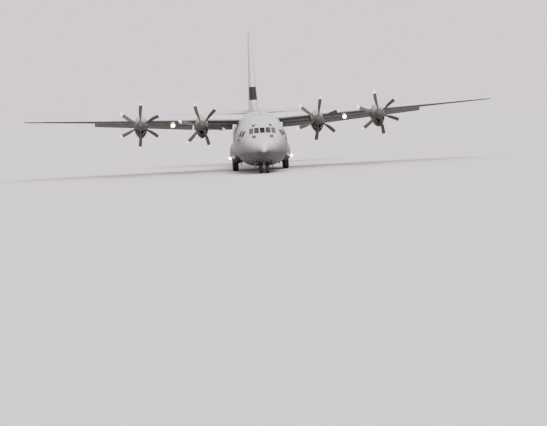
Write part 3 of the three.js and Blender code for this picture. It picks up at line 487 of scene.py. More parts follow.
def carve(made, tool, how="DIFFERENCE"):
    """Cuts an object with a mesh or another object, or keeps only what both share."""
    if isinstance(tool, bmesh.types.BMesh):
        tool = thing("tool", tool)
    cutter = made.modifiers.new("carve", "BOOLEAN")
    cutter.operation, cutter.solver, cutter.object = how, "EXACT", tool
    graph = bpy.context.evaluated_depsgraph_get()
    shaped = bpy.data.meshes.new_from_object(made.evaluated_get(graph))
    made.modifiers.clear()
    old, made.data = made.data, shaped
    bpy.data.meshes.remove(old)
    bpy.data.objects.remove(tool)
    return made


def copy_of(made, name):
    return placed(name, made.data.copy())


SIDES = (("left", 1), ("right", -1))

# %% [markdown]
# ## Fuselage
# A pressurised body is nearly round above and squarer below, where the hold's floor is. Each row holds
# a station, the bottom, the top, the half width, the height of the widest line and how square the
# belly is. Between rows the numbers are eased, so the nose and tail bend without kinks.

# %% The body's table and its rings
RADOME_END, BARREL_START, BARREL_END = 1250, 5000, 16380
NOSE_ROWS = [
    (0, 1992, 2008, 10, 2000, 2), (90, 1790, 2230, 205, 2005, 2), (320, 1560, 2480, 465, 2015, 2),
    (720, 1290, 2730, 790, 2040, 2), (1250, 1050, 2960, 1110, 2080, 2.1), (1900, 860, 3270, 1430, 2180, 2.2),
    (2500, 735, 3840, 1690, 2290, 2.35), (2750, 700, 4080, 1780, 2330, 2.45),
    (3400, 620, 4500, 1960, 2440, 2.6), (4200, 565, 4760, 2110, 2550, 2.75),
    (BARREL_START, 550, 4850, 2170, 2600, 2.8), (BARREL_END, 550, 4850, 2170, 2600, 2.8),
]
TAIL_ROWS = [
    (BARREL_END, 550, 4850, 2170, 2600, 2.8), (18000, 1110, 4850, 2160, 2760, 2.8),
    (20000, 1830, 4850, 2060, 3050, 2.8), (22000, 2550, 4850, 1800, 3430, 2.8),
    (24000, 3170, 4830, 1430, 3800, 2.6), (26000, 3690, 4780, 1010, 4130, 2.4),
    (28000, 4060, 4680, 580, 4340, 2.2), (29400, 4280, 4560, 240, 4420, 2), (LENGTH, 4390, 4480, 60, 4435, 2),
]


def row_after(rows, station):
    return max(1, next((i for i, row in enumerate(rows) if row[0] >= station), len(rows) - 1))


def row_at(rows, station):
    """A table's numbers between two of its rows, along straight lines."""
    after = row_after(rows, station)
    before, behind = rows[after - 1], rows[after]
    share = (station - before[0]) / (behind[0] - before[0])
    return [mix(a, b, share) for a, b in zip(before, behind)]


# %% [markdown]
# Straight lines would leave a kink at each row. A curve with the right slope in every row has none, and
# where the slope is a weighted mean of the two steps beside it, the curve never overshoots the rows.


# %% Curves through a table
def eased(rows, station):
    """As row_at, but along smooth curves."""
    after = row_after(rows, station)
    width = rows[after][0] - rows[after - 1][0]
    t = (station - rows[after - 1][0]) / width

    def slope(i, k):
        pairs = [(rows[j], rows[j + 1]) for j in (i - 1, i) if 0 <= j < len(rows) - 1]
        gaps = [b[0] - a[0] for a, b in pairs]
        steps = [(b[k] - a[k]) / gap for (a, b), gap in zip(pairs, gaps)]
        if len(steps) == 1:
            return steps[0]
        if steps[0] * steps[1] <= 0:
            return 0
        a, b = 2 * gaps[1] + gaps[0], gaps[1] + 2 * gaps[0]
        return (a + b) / (a / steps[0] + b / steps[1])

    result = [station]
    for k in range(1, len(rows[0])):
        a, b = rows[after - 1][k], rows[after][k]
        m, n = slope(after - 1, k) * width, slope(after, k) * width
        result.append(a * (2 * t ** 3 - 3 * t ** 2 + 1) + m * (t ** 3 - 2 * t ** 2 + t)
                      + b * (3 * t ** 2 - 2 * t ** 3) + n * (t ** 3 - t ** 2))
    return result


print("half width of the nose at station 1000:", round(eased(NOSE_ROWS, 1000)[3]))


# %% Rings of the body
def body_ring(row, inset=0, sides=72, middle=0):
    """One ring of an upright oval whose lower half may be squarer."""
    station, bottom, top, half, wide, square = row
    points = []
    for a in turns_of(sides):
        across, up = math.sin(a), math.cos(a)
        power = 1 if up >= 0 else 2 / square
        x = (half - inset) * math.copysign(abs(across) ** power, across)
        rise = top - inset - wide if up >= 0 else wide - bottom - inset
        points.append(spot(x + middle, station, wide + rise * math.copysign(abs(up) ** power, up)))
    return points


def stations(start, end, step):
    count = max(2, round((end - start) / step) + 1)
    return [mix(start, end, k / (count - 1)) for k in range(count)]


def body_rings(start, end, inset=0, step=260):
    """Rings from one station to another, following the nose, the barrel and the tail."""
    knots = stations(start, min(end, BARREL_START), step) if start < BARREL_START else [start]
    if end > BARREL_END:
        knots += [BARREL_END] if start < BARREL_END else []
        knots += stations(max(start, BARREL_END), end, step * 1.6)[1:]
    elif end > BARREL_START:
        knots += [end]
    rows = [eased(NOSE_ROWS if s <= BARREL_END else TAIL_ROWS, s) for s in sorted(set(knots))]
    return [body_ring(row, inset) for row in rows]


print("rings from nose to tail", len(body_rings(RADOME_END, LENGTH)))

# %% [markdown]
# The skin is a closed oval body with a smaller one taken out of it. Panes, doors, wells and the mouth
# under the tail are then cut through the wall, and each door is what its own box shares with the skin.

# %% What is cut out of the body
# Panes are drawn from the front as (x, height), or from the side as (station, height). A door's numbers
# are its stations and heights, and a well is a box: its sides, stations and heights.
FRONT_PANES = [
    [(-215, 3390), (215, 3390), (205, 3830), (-205, 3830)],
    [(285, 3390), (700, 3360), (670, 3830), (275, 3840)],
    [(770, 3350), (1130, 3290), (1080, 3760), (735, 3820)],
    [(560, 2990), (900, 2950), (900, 3190), (590, 3230)],
    [(620, 3920), (900, 3860), (760, 4090), (520, 4130)],
]
SIDE_PANES = [
    [(2780, 3080), (3230, 3080), (3230, 3560), (2830, 3560)],
    [(3310, 3080), (3760, 3080), (3760, 3560), (3310, 3560)],
    [(3400, 2530), (3800, 2530), (3800, 2900), (3400, 2900)],
]
CREW_DOOR = (4150, 4950, 1060, 2860)
JUMP_DOOR = (15300, 16200, 1060, 2900)
WALL, DOOR_GAP, DOOR_CORNER, PANE_CORNER = 90, 14, 70, 60
MAIN_WELL = (1700, 2500, 10400, 13740, 0, 1620)
NOSE_WELL = (-720, 720, 1620, 2990, 0, 1500)
RAMP_HALF, DOOR_START, DOOR_END = 1530, 19472, 22940


def door_box(door, grow, side=1, mesh=None):
    s0, s1, z0, z1 = door
    outline = rounded([(s0 - grow, z0 - grow), (s1 + grow, z0 - grow), (s1 + grow, z1 + grow),
                       (s0 - grow, z1 + grow)], DOOR_CORNER + grow)
    return prism(outline, 0, side * 1100, side * 2600, mesh)


def box(x0, x1, s0, s1, z0, z1, mesh=None):
    return prism([(x0, z0), (x1, z0), (x1, z1), (x0, z1)], 1, s0, s1, mesh)


print("panes", 2 * len(FRONT_PANES) - 1 + 2 * len(SIDE_PANES))

# %% The body's wall and everything cut from it
shell = thing("fuselage_skin", loft(body_rings(RADOME_END + 1, LENGTH)))
solid_tail = thing("solid_tail", loft(body_rings(BARREL_END + 2, 24000)))
carve(shell, loft(body_rings(RADOME_END + 100, 27600, WALL)))

crew_door = carve(copy_of(shell, "crew_door_skin"), door_box(CREW_DOOR, 0), "INTERSECT")
dress(crew_door, body_grey, "crew_door", replaces=("crew_door",))
for word, side in SIDES:
    door = carve(copy_of(shell, f"jump_door_skin_{word}"), door_box(JUMP_DOOR, -6, side), "INTERSECT")
    dress(door, body_grey, replaces=(f"jump_door_{word}",))

tools = bmesh.new()
for pane in FRONT_PANES + [flipped(pane) for pane in FRONT_PANES[1:]]:
    prism(rounded(pane, PANE_CORNER), 1, 1500, 3300, tools)
carve(shell, tools)

tools = bmesh.new()
for pane in SIDE_PANES:
    prism(rounded(pane, PANE_CORNER), 0, 1000, 2600, tools)
door_box(JUMP_DOOR, 0, 1, tools)
box(*MAIN_WELL, tools)
both_sides(tools)
door_box(CREW_DOOR, DOOR_GAP, 1, tools)
box(*NOSE_WELL, tools)
opening = [(RAMP_HALF + 30, BARREL_END + 3), (RAMP_HALF + 30, DOOR_START), (1250, DOOR_END + DOOR_GAP)]
prism(opening + flipped(opening), 2, 0, 3400, tools)
carve(shell, tools)
dress(shell, body_grey, replaces=("nose_shell", "centre_fuselage", "tail_fuselage"))

# %% [markdown]
# The nose cone is one moulding without joints, painted a little paler.

# %% Radome
RADOME_PLACES = (0.5, 6, 20, 45, 90, 150, 220, 320, 430, 560, 720, 900, 1080, RADOME_END)
piece("radome_skin", loft([body_ring(eased(NOSE_ROWS, s)) for s in RADOME_PLACES]), radome_grey,
      replaces=("radome",), angle=50)

# %% [markdown]
# ## Panes
# The glass is one curved band inside the wall's thickness, so that each pane sits a little back from
# the skin and follows the nose exactly. The cut edge of the wall is its frame.

# %% Windscreen
panes = thing("cockpit_panes", loft(body_rings(1420, 3950, 34, 150)))
carve(panes, loft(body_rings(1440, 3930, 58, 150)))
carve(panes, box(-2200, 2200, 1500, 3900, 2460, 4250), "INTERSECT")
dress(panes, glass, replaces=("windscreen",))

# %% [markdown]
# ## Ramp and cargo door
# Under the tail the body opens to the full width of the hold. The ramp is a thick wedge with a ribbed
# deck that turns down on its front edge, and the door above it is a curved leaf that lifts inwards.

# %% Ramp
RAMP_PIN = 16402, 800
RAMP_OUTLINE = [(16424, 1030), (16412, 800), (16577, 500), (19450, 1500), (19450, 1646), (19345, 1950)]
ramp = thing("ramp_skin", prism(RAMP_OUTLINE, 0, -RAMP_HALF, RAMP_HALF))
carve(ramp, copy_of(solid_tail, "tail_tool"), "INTERSECT")
RIB_COUNT, DECK_FRONT, DECK_REAR = 14, (16440, 1030), (19330, 1950)
ribs = bmesh.new()
for k in range(RIB_COUNT):
    share = (k + 0.7) / (RIB_COUNT + 0.4)
    s, z = (mix(a, b, share) for a, b in zip(DECK_FRONT, DECK_REAR))
    prism([(s, z - 30), (s + 40, z - 18), (s + 40, z + 8), (s, z - 4)], 0, -1380, 1380, ribs)
notches = both_sides(round_rod(46, (885, *RAMP_PIN), (995, *RAMP_PIN), sides=24))
carve(ramp, notches)
dress(ramp, body_grey, "cargo_ramp", replaces=("cargo_ramp",))
piece("ramp_deck_ribs", ribs, floor_metal, "cargo_ramp")

# %% Cargo door
LEAF_THICKNESS = 120
LEAF_PLAN = [(RAMP_HALF, DOOR_START), (1220, DOOR_END)]
RELIEF = [(DOOR_END + 1, 3012), (DOOR_END + 60, 3012), (DOOR_END + 60, 3420), (DOOR_END - 400, 3420)]
leaf = copy_of(solid_tail, "cargo_door_skin")
carve(leaf, loft(body_rings(19000, 23600, LEAF_THICKNESS)))
carve(leaf, prism(LEAF_PLAN + flipped(LEAF_PLAN), 2, 0, 3400), "INTERSECT")
carve(leaf, prism(RELIEF, 0, -1700, 1700))
dress(leaf, body_grey, "cargo_door", replaces=("cargo_door",))
bpy.data.objects.remove(solid_tail)

# %% [markdown]
# Each door turns in eyes on the body. An eye is a plate with a round end, a lug is its mate on the door,
# and a pin goes through both. They are thick prisms, drawn from the side.

# %% Hinges
DOOR_EYE = [(1640, 1018), (1800, 1018), (1810, 1046), (1800, 1070), (1774, 1070), (1764, 1050), (1764, 1040),
            (1640, 1040)]
DOOR_LUG = [(1690, 1062), (1752, 1062), (1774, 1034), (1796, 1036), (1798, 1058), (1740, 1120), (1690, 1120)]
RAMP_EYE = [(16300, 834), (16402, 834), (16430, 820), (16436, 800), (16430, 780), (16402, 766), (16300, 766)]
CARGO_EYE = [(22966, 2880), (23040, 2880), (22981, 3016), (22968, 3040), (22947, 3046), (22924, 3037),
             (22913, 3012), (22924, 2987), (22947, 2978), (22966, 2984)]
CARGO_LUG = [(22860, 2930), (22936, 2930), (22972, 3000), (22968, 3026), (22940, 3036), (22900, 3000)]
CARGO_PIN = 22947, 3012
eyes = both_sides(prism(CARGO_EYE, 0, 300, 350, prism(RAMP_EYE, 0, 900, 980)))
for start in (4230, 4810):
    prism(DOOR_EYE, 1, start, start + 60, eyes)
door_hinge = round_rod(14, (1786, 4220, 1046), (1786, 4880, 1046), prism(DOOR_LUG, 1, 4400, 4700), 16)
ramp_pins = round_rod(16, (820, *RAMP_PIN), (1060, *RAMP_PIN), sides=16)
cargo_lugs = round_rod(16, (200, *CARGO_PIN), (360, *CARGO_PIN), prism(CARGO_LUG, 0, 210, 270), 16)
piece("hinge_eyes", eyes, engine_metal)
piece("crew_door_hinge_bar", door_hinge, engine_metal, "crew_door")
piece("ramp_hinge_pins", both_sides(ramp_pins), engine_metal, "cargo_ramp")
piece("cargo_door_lugs", both_sides(cargo_lugs), engine_metal, "cargo_door")

# %% [markdown]
# Open, the crew door is the stairs: three treads stand on its inner face, with a pull handle outside.

# %% Stairs on the crew door
# Each tread has a height and the place of the door's skin behind it
treads, handle = bmesh.new(), bmesh.new()
for z, inner in ((1330, 1815), (1580, 1930), (1830, 1995)):
    box(inner - 125, inner + 30, 4290, 4810, z - 16, z + 16, treads)
for s in (4270, 4822):
    prism([(1700, 1330), (1790, 1310), (1990, 1840), (1880, 1850)], 1, s, s + 14, treads)
for s in (4480, 4620):
    round_rod(10, (2105, s, 2350), (2178, s, 2350), handle, 12)
round_rod(11, (2176, 4470, 2350), (2176, 4630, 2350), handle, 12)
piece("crew_door_stairs", treads, floor_metal, "crew_door")
piece("crew_door_handle", handle, engine_metal, "crew_door")

# %% [markdown]
# ## Hold and flight deck
# The hold's lining is a plain twelve-sided tube of thin panels. Floor, flight deck and engines keep
# their solids, whose flat shapes are right already, and only get finishes.

# %% Lining
FLOOR_TOP = 1034
HOLD = [(1540, FLOOR_TOP), (1600, 1700), (1900, 2100), (1900, 3000), (1600, 3550), (1040, 3800)]
around = HOLD + flipped(HOLD)
outside = [(x * 1.012, z * 1.004 + 6) for x, z in around]
lining = thing("hold_lining", prism(outside, 1, BARREL_START + 4, BARREL_END - 20))
carve(lining, prism(around, 1, BARREL_START - 100, BARREL_END + 120))
carve(lining, both_sides(door_box(JUMP_DOOR, 0)))
dress(lining, cabin_primer)


def finish_node(node, material):
    """Gives a solid that stays in view its finish."""
    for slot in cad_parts[node].material_slots:
        slot.material = material


finish_node("cargo_floor", floor_metal)
finish_node("flight_deck", cabin_primer)

# %% [markdown]
# Freight rolls in on two tracks of rollers that lie along the floor of the hold, each between two rails.

# %% Roller tracks
TRACK, RAIL_HALF = 700, 16
rails, rollers = bmesh.new(), bmesh.new()
for x in (TRACK - 150, TRACK + 150):
    box(x - RAIL_HALF, x + RAIL_HALF, 5150, 16300, FLOOR_TOP, FLOOR_TOP + 62, rails)
for s in stations(5250, 16200, 260):
    round_rod(26, (TRACK - 134, s, FLOOR_TOP + 40), (TRACK + 134, s, FLOOR_TOP + 40), rollers, 8)
piece("roller_rails", both_sides(rails), floor_metal)
piece("floor_rollers", both_sides(rollers), engine_metal)

# %% [markdown]
# ## Wing sections
# An aerofoil is a thickness wrapped round a slightly arched line. `Section` turns shares of the chord
# into places, so that the same short list of steps serves wing, tailplane and fin.


# %% Aerofoils
def half_thickness(u, ratio):
    return 5 * ratio * (0.2969 * math.sqrt(max(u, 0)) - 0.126 * u - 0.3516 * u ** 2
                        + 0.2843 * u ** 3 - 0.1036 * u ** 4) + 0.0015 * u


def camber_line(u, camber, place=0.45):
    if u < place:
        return camber / place ** 2 * (2 * place * u - u * u)
    return camber / (1 - place) ** 2 * (1 - 2 * place + 2 * place * u - u * u)


def steps_along(back, count=22):
    """Shares of a chord from the back to the front, closer together near both ends."""
    return [back * (0.5 + 0.5 * math.cos(math.pi * k / count)) for k in range(count)]


class Section:
    def __init__(self, chord, ratio, camber, point):
        self.chord, self.ratio, self.camber, self.point = chord, ratio, camber, point

    def upper(self, u):
        return camber_line(u, self.camber) + half_thickness(u, self.ratio)

    def lower(self, u):
        return camber_line(u, self.camber) - half_thickness(u, self.ratio)

    def ring(self, back=1.0):
        """Over the top from the back, round the nose and along the underside."""
        steps = steps_along(back)
        over = [self.point(u, self.upper(u)) for u in steps]
        under = [self.point(u, self.lower(u)) for u in reversed(steps)]
        return over + [self.point(0, 0)] + under


# Each row of the wing: x, leading edge, chord, incidence in degrees, thickness as a share of the chord
WING_JOINT, WING_BREAK, TIP_START = 5590, 14250, 19850
WING_HEIGHT, DIHEDRAL = 4290, math.tan(math.radians(2.5))
WING_ROWS = [(0, 10060, 4880, 3, 0.18), (WING_JOINT, 10060, 4880, 3, 0.18), (HALF_SPAN, 10560, 2480, 0, 0.12)]


def wing_section(x, chord_share=1.0, thick_share=1.0):
    _, edge, chord, incidence, ratio = row_at(WING_ROWS, x)
    turn = math.radians(incidence)
    scaled = chord * chord_share
    front = edge + (chord - scaled) * 0.4
    height = WING_HEIGHT + x * DIHEDRAL

    def point(u, v):
        run = (u - 0.25) * math.cos(turn) + v * math.sin(turn)
        return spot(x, front + chord * 0.25 + run * scaled + (scaled - chord) * 0.25,
                    height + (v * math.cos(turn) - (u - 0.25) * math.sin(turn)) * scaled)
    return Section(scaled, ratio * thick_share, 0.02, point)


print("wing chord at the root", wing_section(0).chord, "and at the tip", wing_section(HALF_SPAN).chord)

# %% [markdown]
# ## Wings
# Behind the rear spar a wing isn't solid: flaps and ailerons hang in open bays. So it is lofted in
# spanwise strips, each with the outline that stands there: whole, open behind the spar under a thin
# shroud, or cut square for the aileron.

# %% Strips of wing
COVE, SHROUD_END, SHROUD_SHARE = 0.7, 0.84, 0.72
FLAP_INNER, FLAP_OUTER, AILERON = (2150, 5570), (5610, 14215), (14285, 19700)


def shroud_ring(x):
    """The wing in front of a flap: a box, and a thin upper skin that reaches back over the flap."""
    s = wing_section(x)
    ring = [s.point(u, s.upper(u)) for u in steps_along(SHROUD_END)] + [s.point(0, 0)]
    ring += [s.point(u, s.lower(u)) for u in reversed(steps_along(COVE))]
    inner = [(COVE, 0.8), (0.73, 1), (0.78, 1), (SHROUD_END, 1)]
    return ring + [s.point(u, SHROUD_SHARE * s.upper(u) * share) for u, share in inner]


def strip(mesh, kind, start, end, step=700):
    places = sorted({x for x in (WING_JOINT, WING_BREAK) if start < x < end}
                    | set(stations(start, end, step)))
    make = {"whole": lambda x: wing_section(x).ring(), "shroud": shroud_ring,
            "aileron": lambda x: wing_section(x).ring(COVE)}[kind]
    return loft([make(x) for x in places], mesh)


def tip(mesh):
    rings = [wing_section(TIP_START).ring()]
    for share in (0.3, 0.55, 0.75, 0.88, 0.96, 1.0):
        x = mix(TIP_START, HALF_SPAN, share)
        drop = 1 - math.sqrt(1 - share ** 2)
        rings.append(wing_section(x, 1 - 0.14 * drop, 1 - 0.65 * drop).ring())
    return loft(rings, mesh)


wing = bmesh.new()
edges = [0, FLAP_INNER[0], WING_JOINT, FLAP_OUTER[1], *AILERON, TIP_START]
kinds = ["whole", "shroud", "shroud", "whole", "aileron", "whole"]
for kind, start, end in zip(kinds, edges, edges[1:]):
    strip(wing, kind, start, end)
tip(wing)
piece("wing_skin", both_sides(wing), wing_grey,
      replaces=("wing_centre", "wing_outer_left", "wing_outer_right"))

# %% [markdown]
# The flaps run on curved rails, two to a flap. Each rail is a band of a circle about the flap's hinge
# line, standing on edge in line with the flight.

# %% Flap rails
FLAP_PIVOT, RAIL_RADIUS = (0.703, -0.23), 0.236


def flap_rail(mesh, span, x, depth=60, half=25, start=-6, end=46, steps=14):
    """A rail at one place of a flap's span, from start to end degrees behind the pivot's upright."""
    a, b = (wing_section(place).point(*FLAP_PIVOT) for place in span)
    along = (b - a).normalized()
    pivot = a + along * ((x * MM - a.x) / along.x)
    section = wing_section(x)
    up = section.point(FLAP_PIVOT[0], 0) - pivot
    up = (up - along * up.dot(along)).normalized()
    aft = up.cross(along)
    outline = []
    middle = RAIL_RADIUS * section.chord
    for radius, turns in ((middle - depth / 2, range(steps + 1)), (middle + depth / 2, range(steps, -1, -1))):
        for k in turns:
            turn = math.radians(mix(start, end, k / steps))
            outline.append(pivot + (aft * math.sin(turn) + up * math.cos(turn)) * radius * MM)
    loft([[p + along * side * MM for p in outline] for side in (-half, half)], mesh)


rails = bmesh.new()
for span, places in ((FLAP_INNER, (2900, 4250)), (FLAP_OUTER, (6900, 12600))):
    for x in places:
        flap_rail(rails, span, x)
piece("flap_rails", both_sides(rails), engine_metal)

for word, _ in SIDES:
    finish_node(f"flap_inner_{word}", flap_grey)
    finish_node(f"flap_outer_{word}", flap_grey)
    finish_node(f"aileron_{word}", wing_grey)
    finish_node(f"elevator_{word}", tail_grey)
finish_node("rudder", tail_grey)

# %% [markdown]
# Where the wing crosses the body a low fairing closes the gap between the round crown and the wing.

# %% Wing root fairing
# Each row: station, top, half width
HUMP_ROWS = [(8300, 4700, 600), (9250, 4960, 1450), (10200, 5060, 1850), (13800, 5050, 1850),
             (15300, 4920, 1350), (16300, 4740, 600)]


def swelling(rows, step, bottom, wide, sides):
    """A rounded form that grows out of the body, from a table of tops and half widths."""
    rings = []
    for s in stations(rows[0][0], rows[-1][0], step):
        _, top, half = eased(rows, s)
        rings.append(body_ring((s, bottom, top, half, wide, 2), sides=sides))
    return loft(rings)


piece("wing_root_fairing", swelling(HUMP_ROWS, 230, bottom=3500, wide=3850, sides=60), body_grey)

# %% [markdown]
# The main wheels fold into sponsons, long blisters on the body's flanks. Each is lofted past the body's
# skin, and what lies inside the barrel and the wheel well is cut away.

# %% Sponsons
# Each row: station, reach from the plane's middle, bottom, top
SPONSON_ROWS = [(9150, 2080, 1250, 1900), (9700, 2400, 860, 2380), (10300, 2570, 730, 2600),
                (12000, 2600, 720, 2640), (13700, 2570, 730, 2600), (14500, 2380, 860, 2380),
                (15150, 2080, 1250, 1900)]
SPONSON_ROOT = 1650
blister = []
for s in stations(9150, 15150, 170):
    _, reach, bottom, top = eased(SPONSON_ROWS, s)
    blister.append(body_ring((s, bottom, top, reach - SPONSON_ROOT, (bottom + top) / 2, 4.2), sides=64,
                             middle=SPONSON_ROOT))
sponsons = thing("sponson_skin", both_sides(loft(blister)))
carve(sponsons, loft(body_rings(8000, 16000, 4)))
for inner, height in ((MAIN_WELL[0], MAIN_WELL[5]), (1500, 1300)):
    carve(sponsons, both_sides(box(inner, *MAIN_WELL[1:5], height)))
dress(sponsons, body_grey, replaces=("sponson_left", "sponson_right"))

# %% [markdown]
# ## Engines
# Each nacelle is a smooth pod under the wing: a round ring behind the spinner, a chin with the oil
# cooler's and the engine's air intake, and a long tail with the jet pipe low at the back.

# %% Nacelles
# An engine has its number, its x and the turn of its propeller in the photograph. A row of the nacelle
# has its station, its half width, and its top and bottom above the shaft.
ENGINES = [(1, 10160, -11), (2, 4950, 8), (3, -4950, -18), (4, -10160, 3)]
NACELLE_FRONT = 7360
NACELLE_ROWS = [(NACELLE_FRONT, 440, 430, -890), (7480, 490, 480, -1010), (8200, 560, 600, -1140),
                (9200, 600, 700, -1150), (10100, 600, 770, -1060), (10700, 580, 790, -930),
                (11600, 510, 560, -710), (12500, 400, 330, -500), (13100, 270, 120, -330)]
NACELLE_PLACES = [NACELLE_FRONT, 7372, 7395, 7430, *stations(7480, 13000, 190), 13040, 13075, 13100]
JET_DROP = 110
MOUTH = [(-295, -560), (-290, -475), (290, -475), (295, -560), (175, -720), (-175, -720)]
CHIN_POWER = 1.7


def shaft_height(x):
    return 4160 + (abs(x) - 4950) * DIHEDRAL


def shifted(outline, x, z):
    return [(p + x, q + z) for p, q in outline]


for number, x, _ in ENGINES:
    z = shaft_height(x)
    rings = []
    for s in NACELLE_PLACES:
        _, half, top, bottom = eased(NACELLE_ROWS, s)
        lip = 30 * max(0, 1 - (s - NACELLE_FRONT) / 70) ** 2
        row = s, z + bottom + lip, z + top - lip, half - lip, z + (top + bottom) * 0.4, CHIN_POWER
        rings.append(body_ring(row, sides=64, middle=x))
    pod = thing(f"nacelle_skin_{number}", loft(rings))
    carve(pod, prism(rounded(shifted(MOUTH, x, z), 36), 1, 7300, 7900))
    carve(pod, round_rod(330, (x, 7300, z), (x, 9850, z), sides=48))
    carve(pod, round_rod(150, (x, 12900, z - JET_DROP), (x, 13400, z - JET_DROP)))
    dress(pod, nacelle_grey, replaces=(f"nacelle_{number}",))
    finish_node(f"engine_{number}", engine_metal)

# %% [markdown]
# The intake gets a bright lip rolled over its edge and a black plate deep in its throat, a painted shade
# where the duct would be dark, and the jet pipe is scorched.

# %% Intakes and jet pipes
JET_WALL = ((13060, 176), (13230, 170), (13330, 168), (13345, 163), (13330, 158), (13200, 152), (12960, 146))
lips, jets, throats = bmesh.new(), bmesh.new(), bmesh.new()
for number, x, _ in ENGINES:
    z = shaft_height(x)
    outer = rounded(shifted([(p * 1.05, q * 1.03 + 18) for p, q in MOUTH], x, z), 38)
    inner = rounded(shifted([(p * 0.93, q * 0.985 - 9) for p, q in MOUTH], x, z), 34)
    crest = [(p, mix(q, r, 0.5)) for (p, q), (_, r) in zip(outer, inner)]
    wraps = ((7371, outer), (7350, outer), (7342, crest), (7350, inner), (7640, inner), (7371, outer))
    loft([[spot(p, s, q) for p, q in outline] for s, outline in wraps], lips, capped=False)
    # A black plate inside the intake stands in for the shade deep in the duct
    prism(rounded(shifted([(p * 0.9, q) for p, q in MOUTH], x, z), 34), 1, 7850, 7890, throats)
    loft([hoop(x, s, z - JET_DROP, r, sides=32, tall=1.05) for s, r in JET_WALL], jets)
piece("intake_lips", lips, edge_grey)
piece("intake_throats", throats, seal_black)
piece("jet_pipes", jets, scorched, angle=50)

# %% [markdown]
# ## Propellers
# Six composite blades, broad in the middle and swept back at the tip like a scimitar. Each one twists
# from a coarse angle at the root to a fine one at the tip, because the tip moves so much faster.

# %% Blades
# Each row: radius, chord, thickness, pitch in degrees, sweep
BLADE_COUNT, TIP_PAINT, BLADE_PLANE = 6, 1760, 7050
BLADE_ROWS = [(330, 170, 150, 52, 0), (620, 210, 110, 48, 0), (1050, 340, 52, 36, -20),
              (1600, 340, 30, 26, 10), (1900, 270, 20, 22, 60), (2057, 130, 12, 20, 120)]
FOIL = [(0.5, 0), (0.47, 0.16), (0.38, 0.32), (0.2, 0.44), (0, 0.46), (-0.22, 0.36), (-0.4, 0.2),
        (-0.5, 0.06), (-0.5, -0.06), (-0.4, -0.12), (-0.22, -0.26), (0, -0.36), (0.2, -0.36),
        (0.38, -0.26), (0.47, -0.14)]


def blade_ring(radius, turn, x, z, share):
    """The blade's section at a radius, on a blade turned about the shaft; a share below 1 shrinks it."""
    _, chord, thick, pitch, sweep = eased(BLADE_ROWS, radius)
    slope = math.radians(pitch)
    points = []
    for c, t in FOIL:
        along, out = c * chord * share - sweep, t * thick * share
        edge = along * math.cos(slope) - out * math.sin(slope)
        forward = along * math.sin(slope) + out * math.cos(slope)
        points.append(spot(x + radius * math.sin(turn) - edge * math.cos(turn), BLADE_PLANE - forward,
                           z + radius * math.cos(turn) + edge * math.sin(turn)))
    return points


BLADE_RADII = [400, *stations(470, 1700, 120), TIP_PAINT, 1820, 1880, 1940, 1990, 2025, 2045, 2056]
BLADE_SHARES = [*[1] * (len(BLADE_RADII) - 2), 0.9, 0.55]
print("rings on a blade", len(BLADE_RADII))

# %% [markdown]
# Half the spinner's outline is spun about the shaft. A cuff seals each blade's root against it.

# %% Spinners and whole propellers
SPINNER = [(0, 6481), (60, 6488), (140, 6515), (210, 6566), (270, 6630), (330, 6726), (380, 6830),
           (412, 6950), (428, 7070), (430, 7160), (430, 7330), (0, 7330)]
CUFF_START, CUFF_END = 392, 446


def spinner(x, z):
    mesh = bmesh.new()
    outline = [mesh.verts.new(spot(x, s, z + r)) for r, s in SPINNER]
    rim = [mesh.edges.new(pair) for pair in zip(outline, outline[1:])]
    bmesh.ops.spin(mesh, geom=outline + rim, cent=spot(x, 0, z), axis=(0, 1, 0), dvec=(0, 0, 0),
                   angle=2 * math.pi, steps=48, use_merge=True)
    bmesh.ops.remove_doubles(mesh, verts=mesh.verts, dist=0.0001)
    return mesh


for number, x, turned in ENGINES:
    z = shaft_height(x)
    blades, cuffs = bmesh.new(), bmesh.new()
    for a in turns_of(BLADE_COUNT):
        turn = math.radians(turned) + a
        loft([blade_ring(r, turn, x, z, share) for r, share in zip(BLADE_RADII, BLADE_SHARES)], blades)
        root = [(x + r * math.sin(turn), BLADE_PLANE, z + r * math.cos(turn)) for r in (CUFF_START, CUFF_END)]
        round_rod(98, *root, cuffs, 24, narrow=86)
    body = f"propeller_{number}"
    fan = piece(f"blades_{number}", blades, blade_black, body, angle=60)
    fan.data.materials.append(blade_tip)
    axle = spot(x, BLADE_PLANE, z)
    for face in fan.data.polygons:
        off = face.center - axle
        if math.hypot(off.x, off.z) > TIP_PAINT * MM:
            face.material_index = 1
    piece(f"spinner_{number}", spinner(x, z), spinner_grey, body, replaces=(body,), angle=40)
    piece(f"blade_cuffs_{number}", cuffs, engine_metal, body)

# %% [markdown]
# ## Tail
# Fin and tailplane are symmetrical aerofoils. Both are open behind the hinge, where rudder and
# elevators swing, so their rings stop short there, and short whole strips close the ends.

# %% Tailplane
# Each row: x, leading edge, chord, thickness as a share of the chord
TAILPLANE_HEIGHT = 4750
TAILPLANE_ROWS = [(0, 24550, 4100, 0.12), (7800, 25550, 2150, 0.1), (8025, 25800, 1750, 0.05)]
ELEVATOR, ELEVATOR_COVE = (590, 7715), 0.6


def tail_section(x):
    _, edge, chord, ratio = row_at(TAILPLANE_ROWS, x)
    return Section(chord, ratio, 0, lambda u, v: spot(x, edge + u * chord, TAILPLANE_HEIGHT + v * chord))


def span_of(mesh, section, places, back=1.0):
    return loft([section(place).ring(back) for place in places], mesh)


tailplane = bmesh.new()
span_of(tailplane, tail_section, (0, 300, ELEVATOR[0]))
span_of(tailplane, tail_section, stations(*ELEVATOR, 700), ELEVATOR_COVE)
span_of(tailplane, tail_section, (ELEVATOR[1], 7800, 7900, 7970, 8025))
piece("tailplane_skin", both_sides(tailplane), tail_grey, replaces=("tailplane",))

# %% [markdown]
# The fin stands on a low fillet that begins far forward on the body's back. Its leading edge carries
# a dark panel over an aerial, with pale moulded edges above and below it.

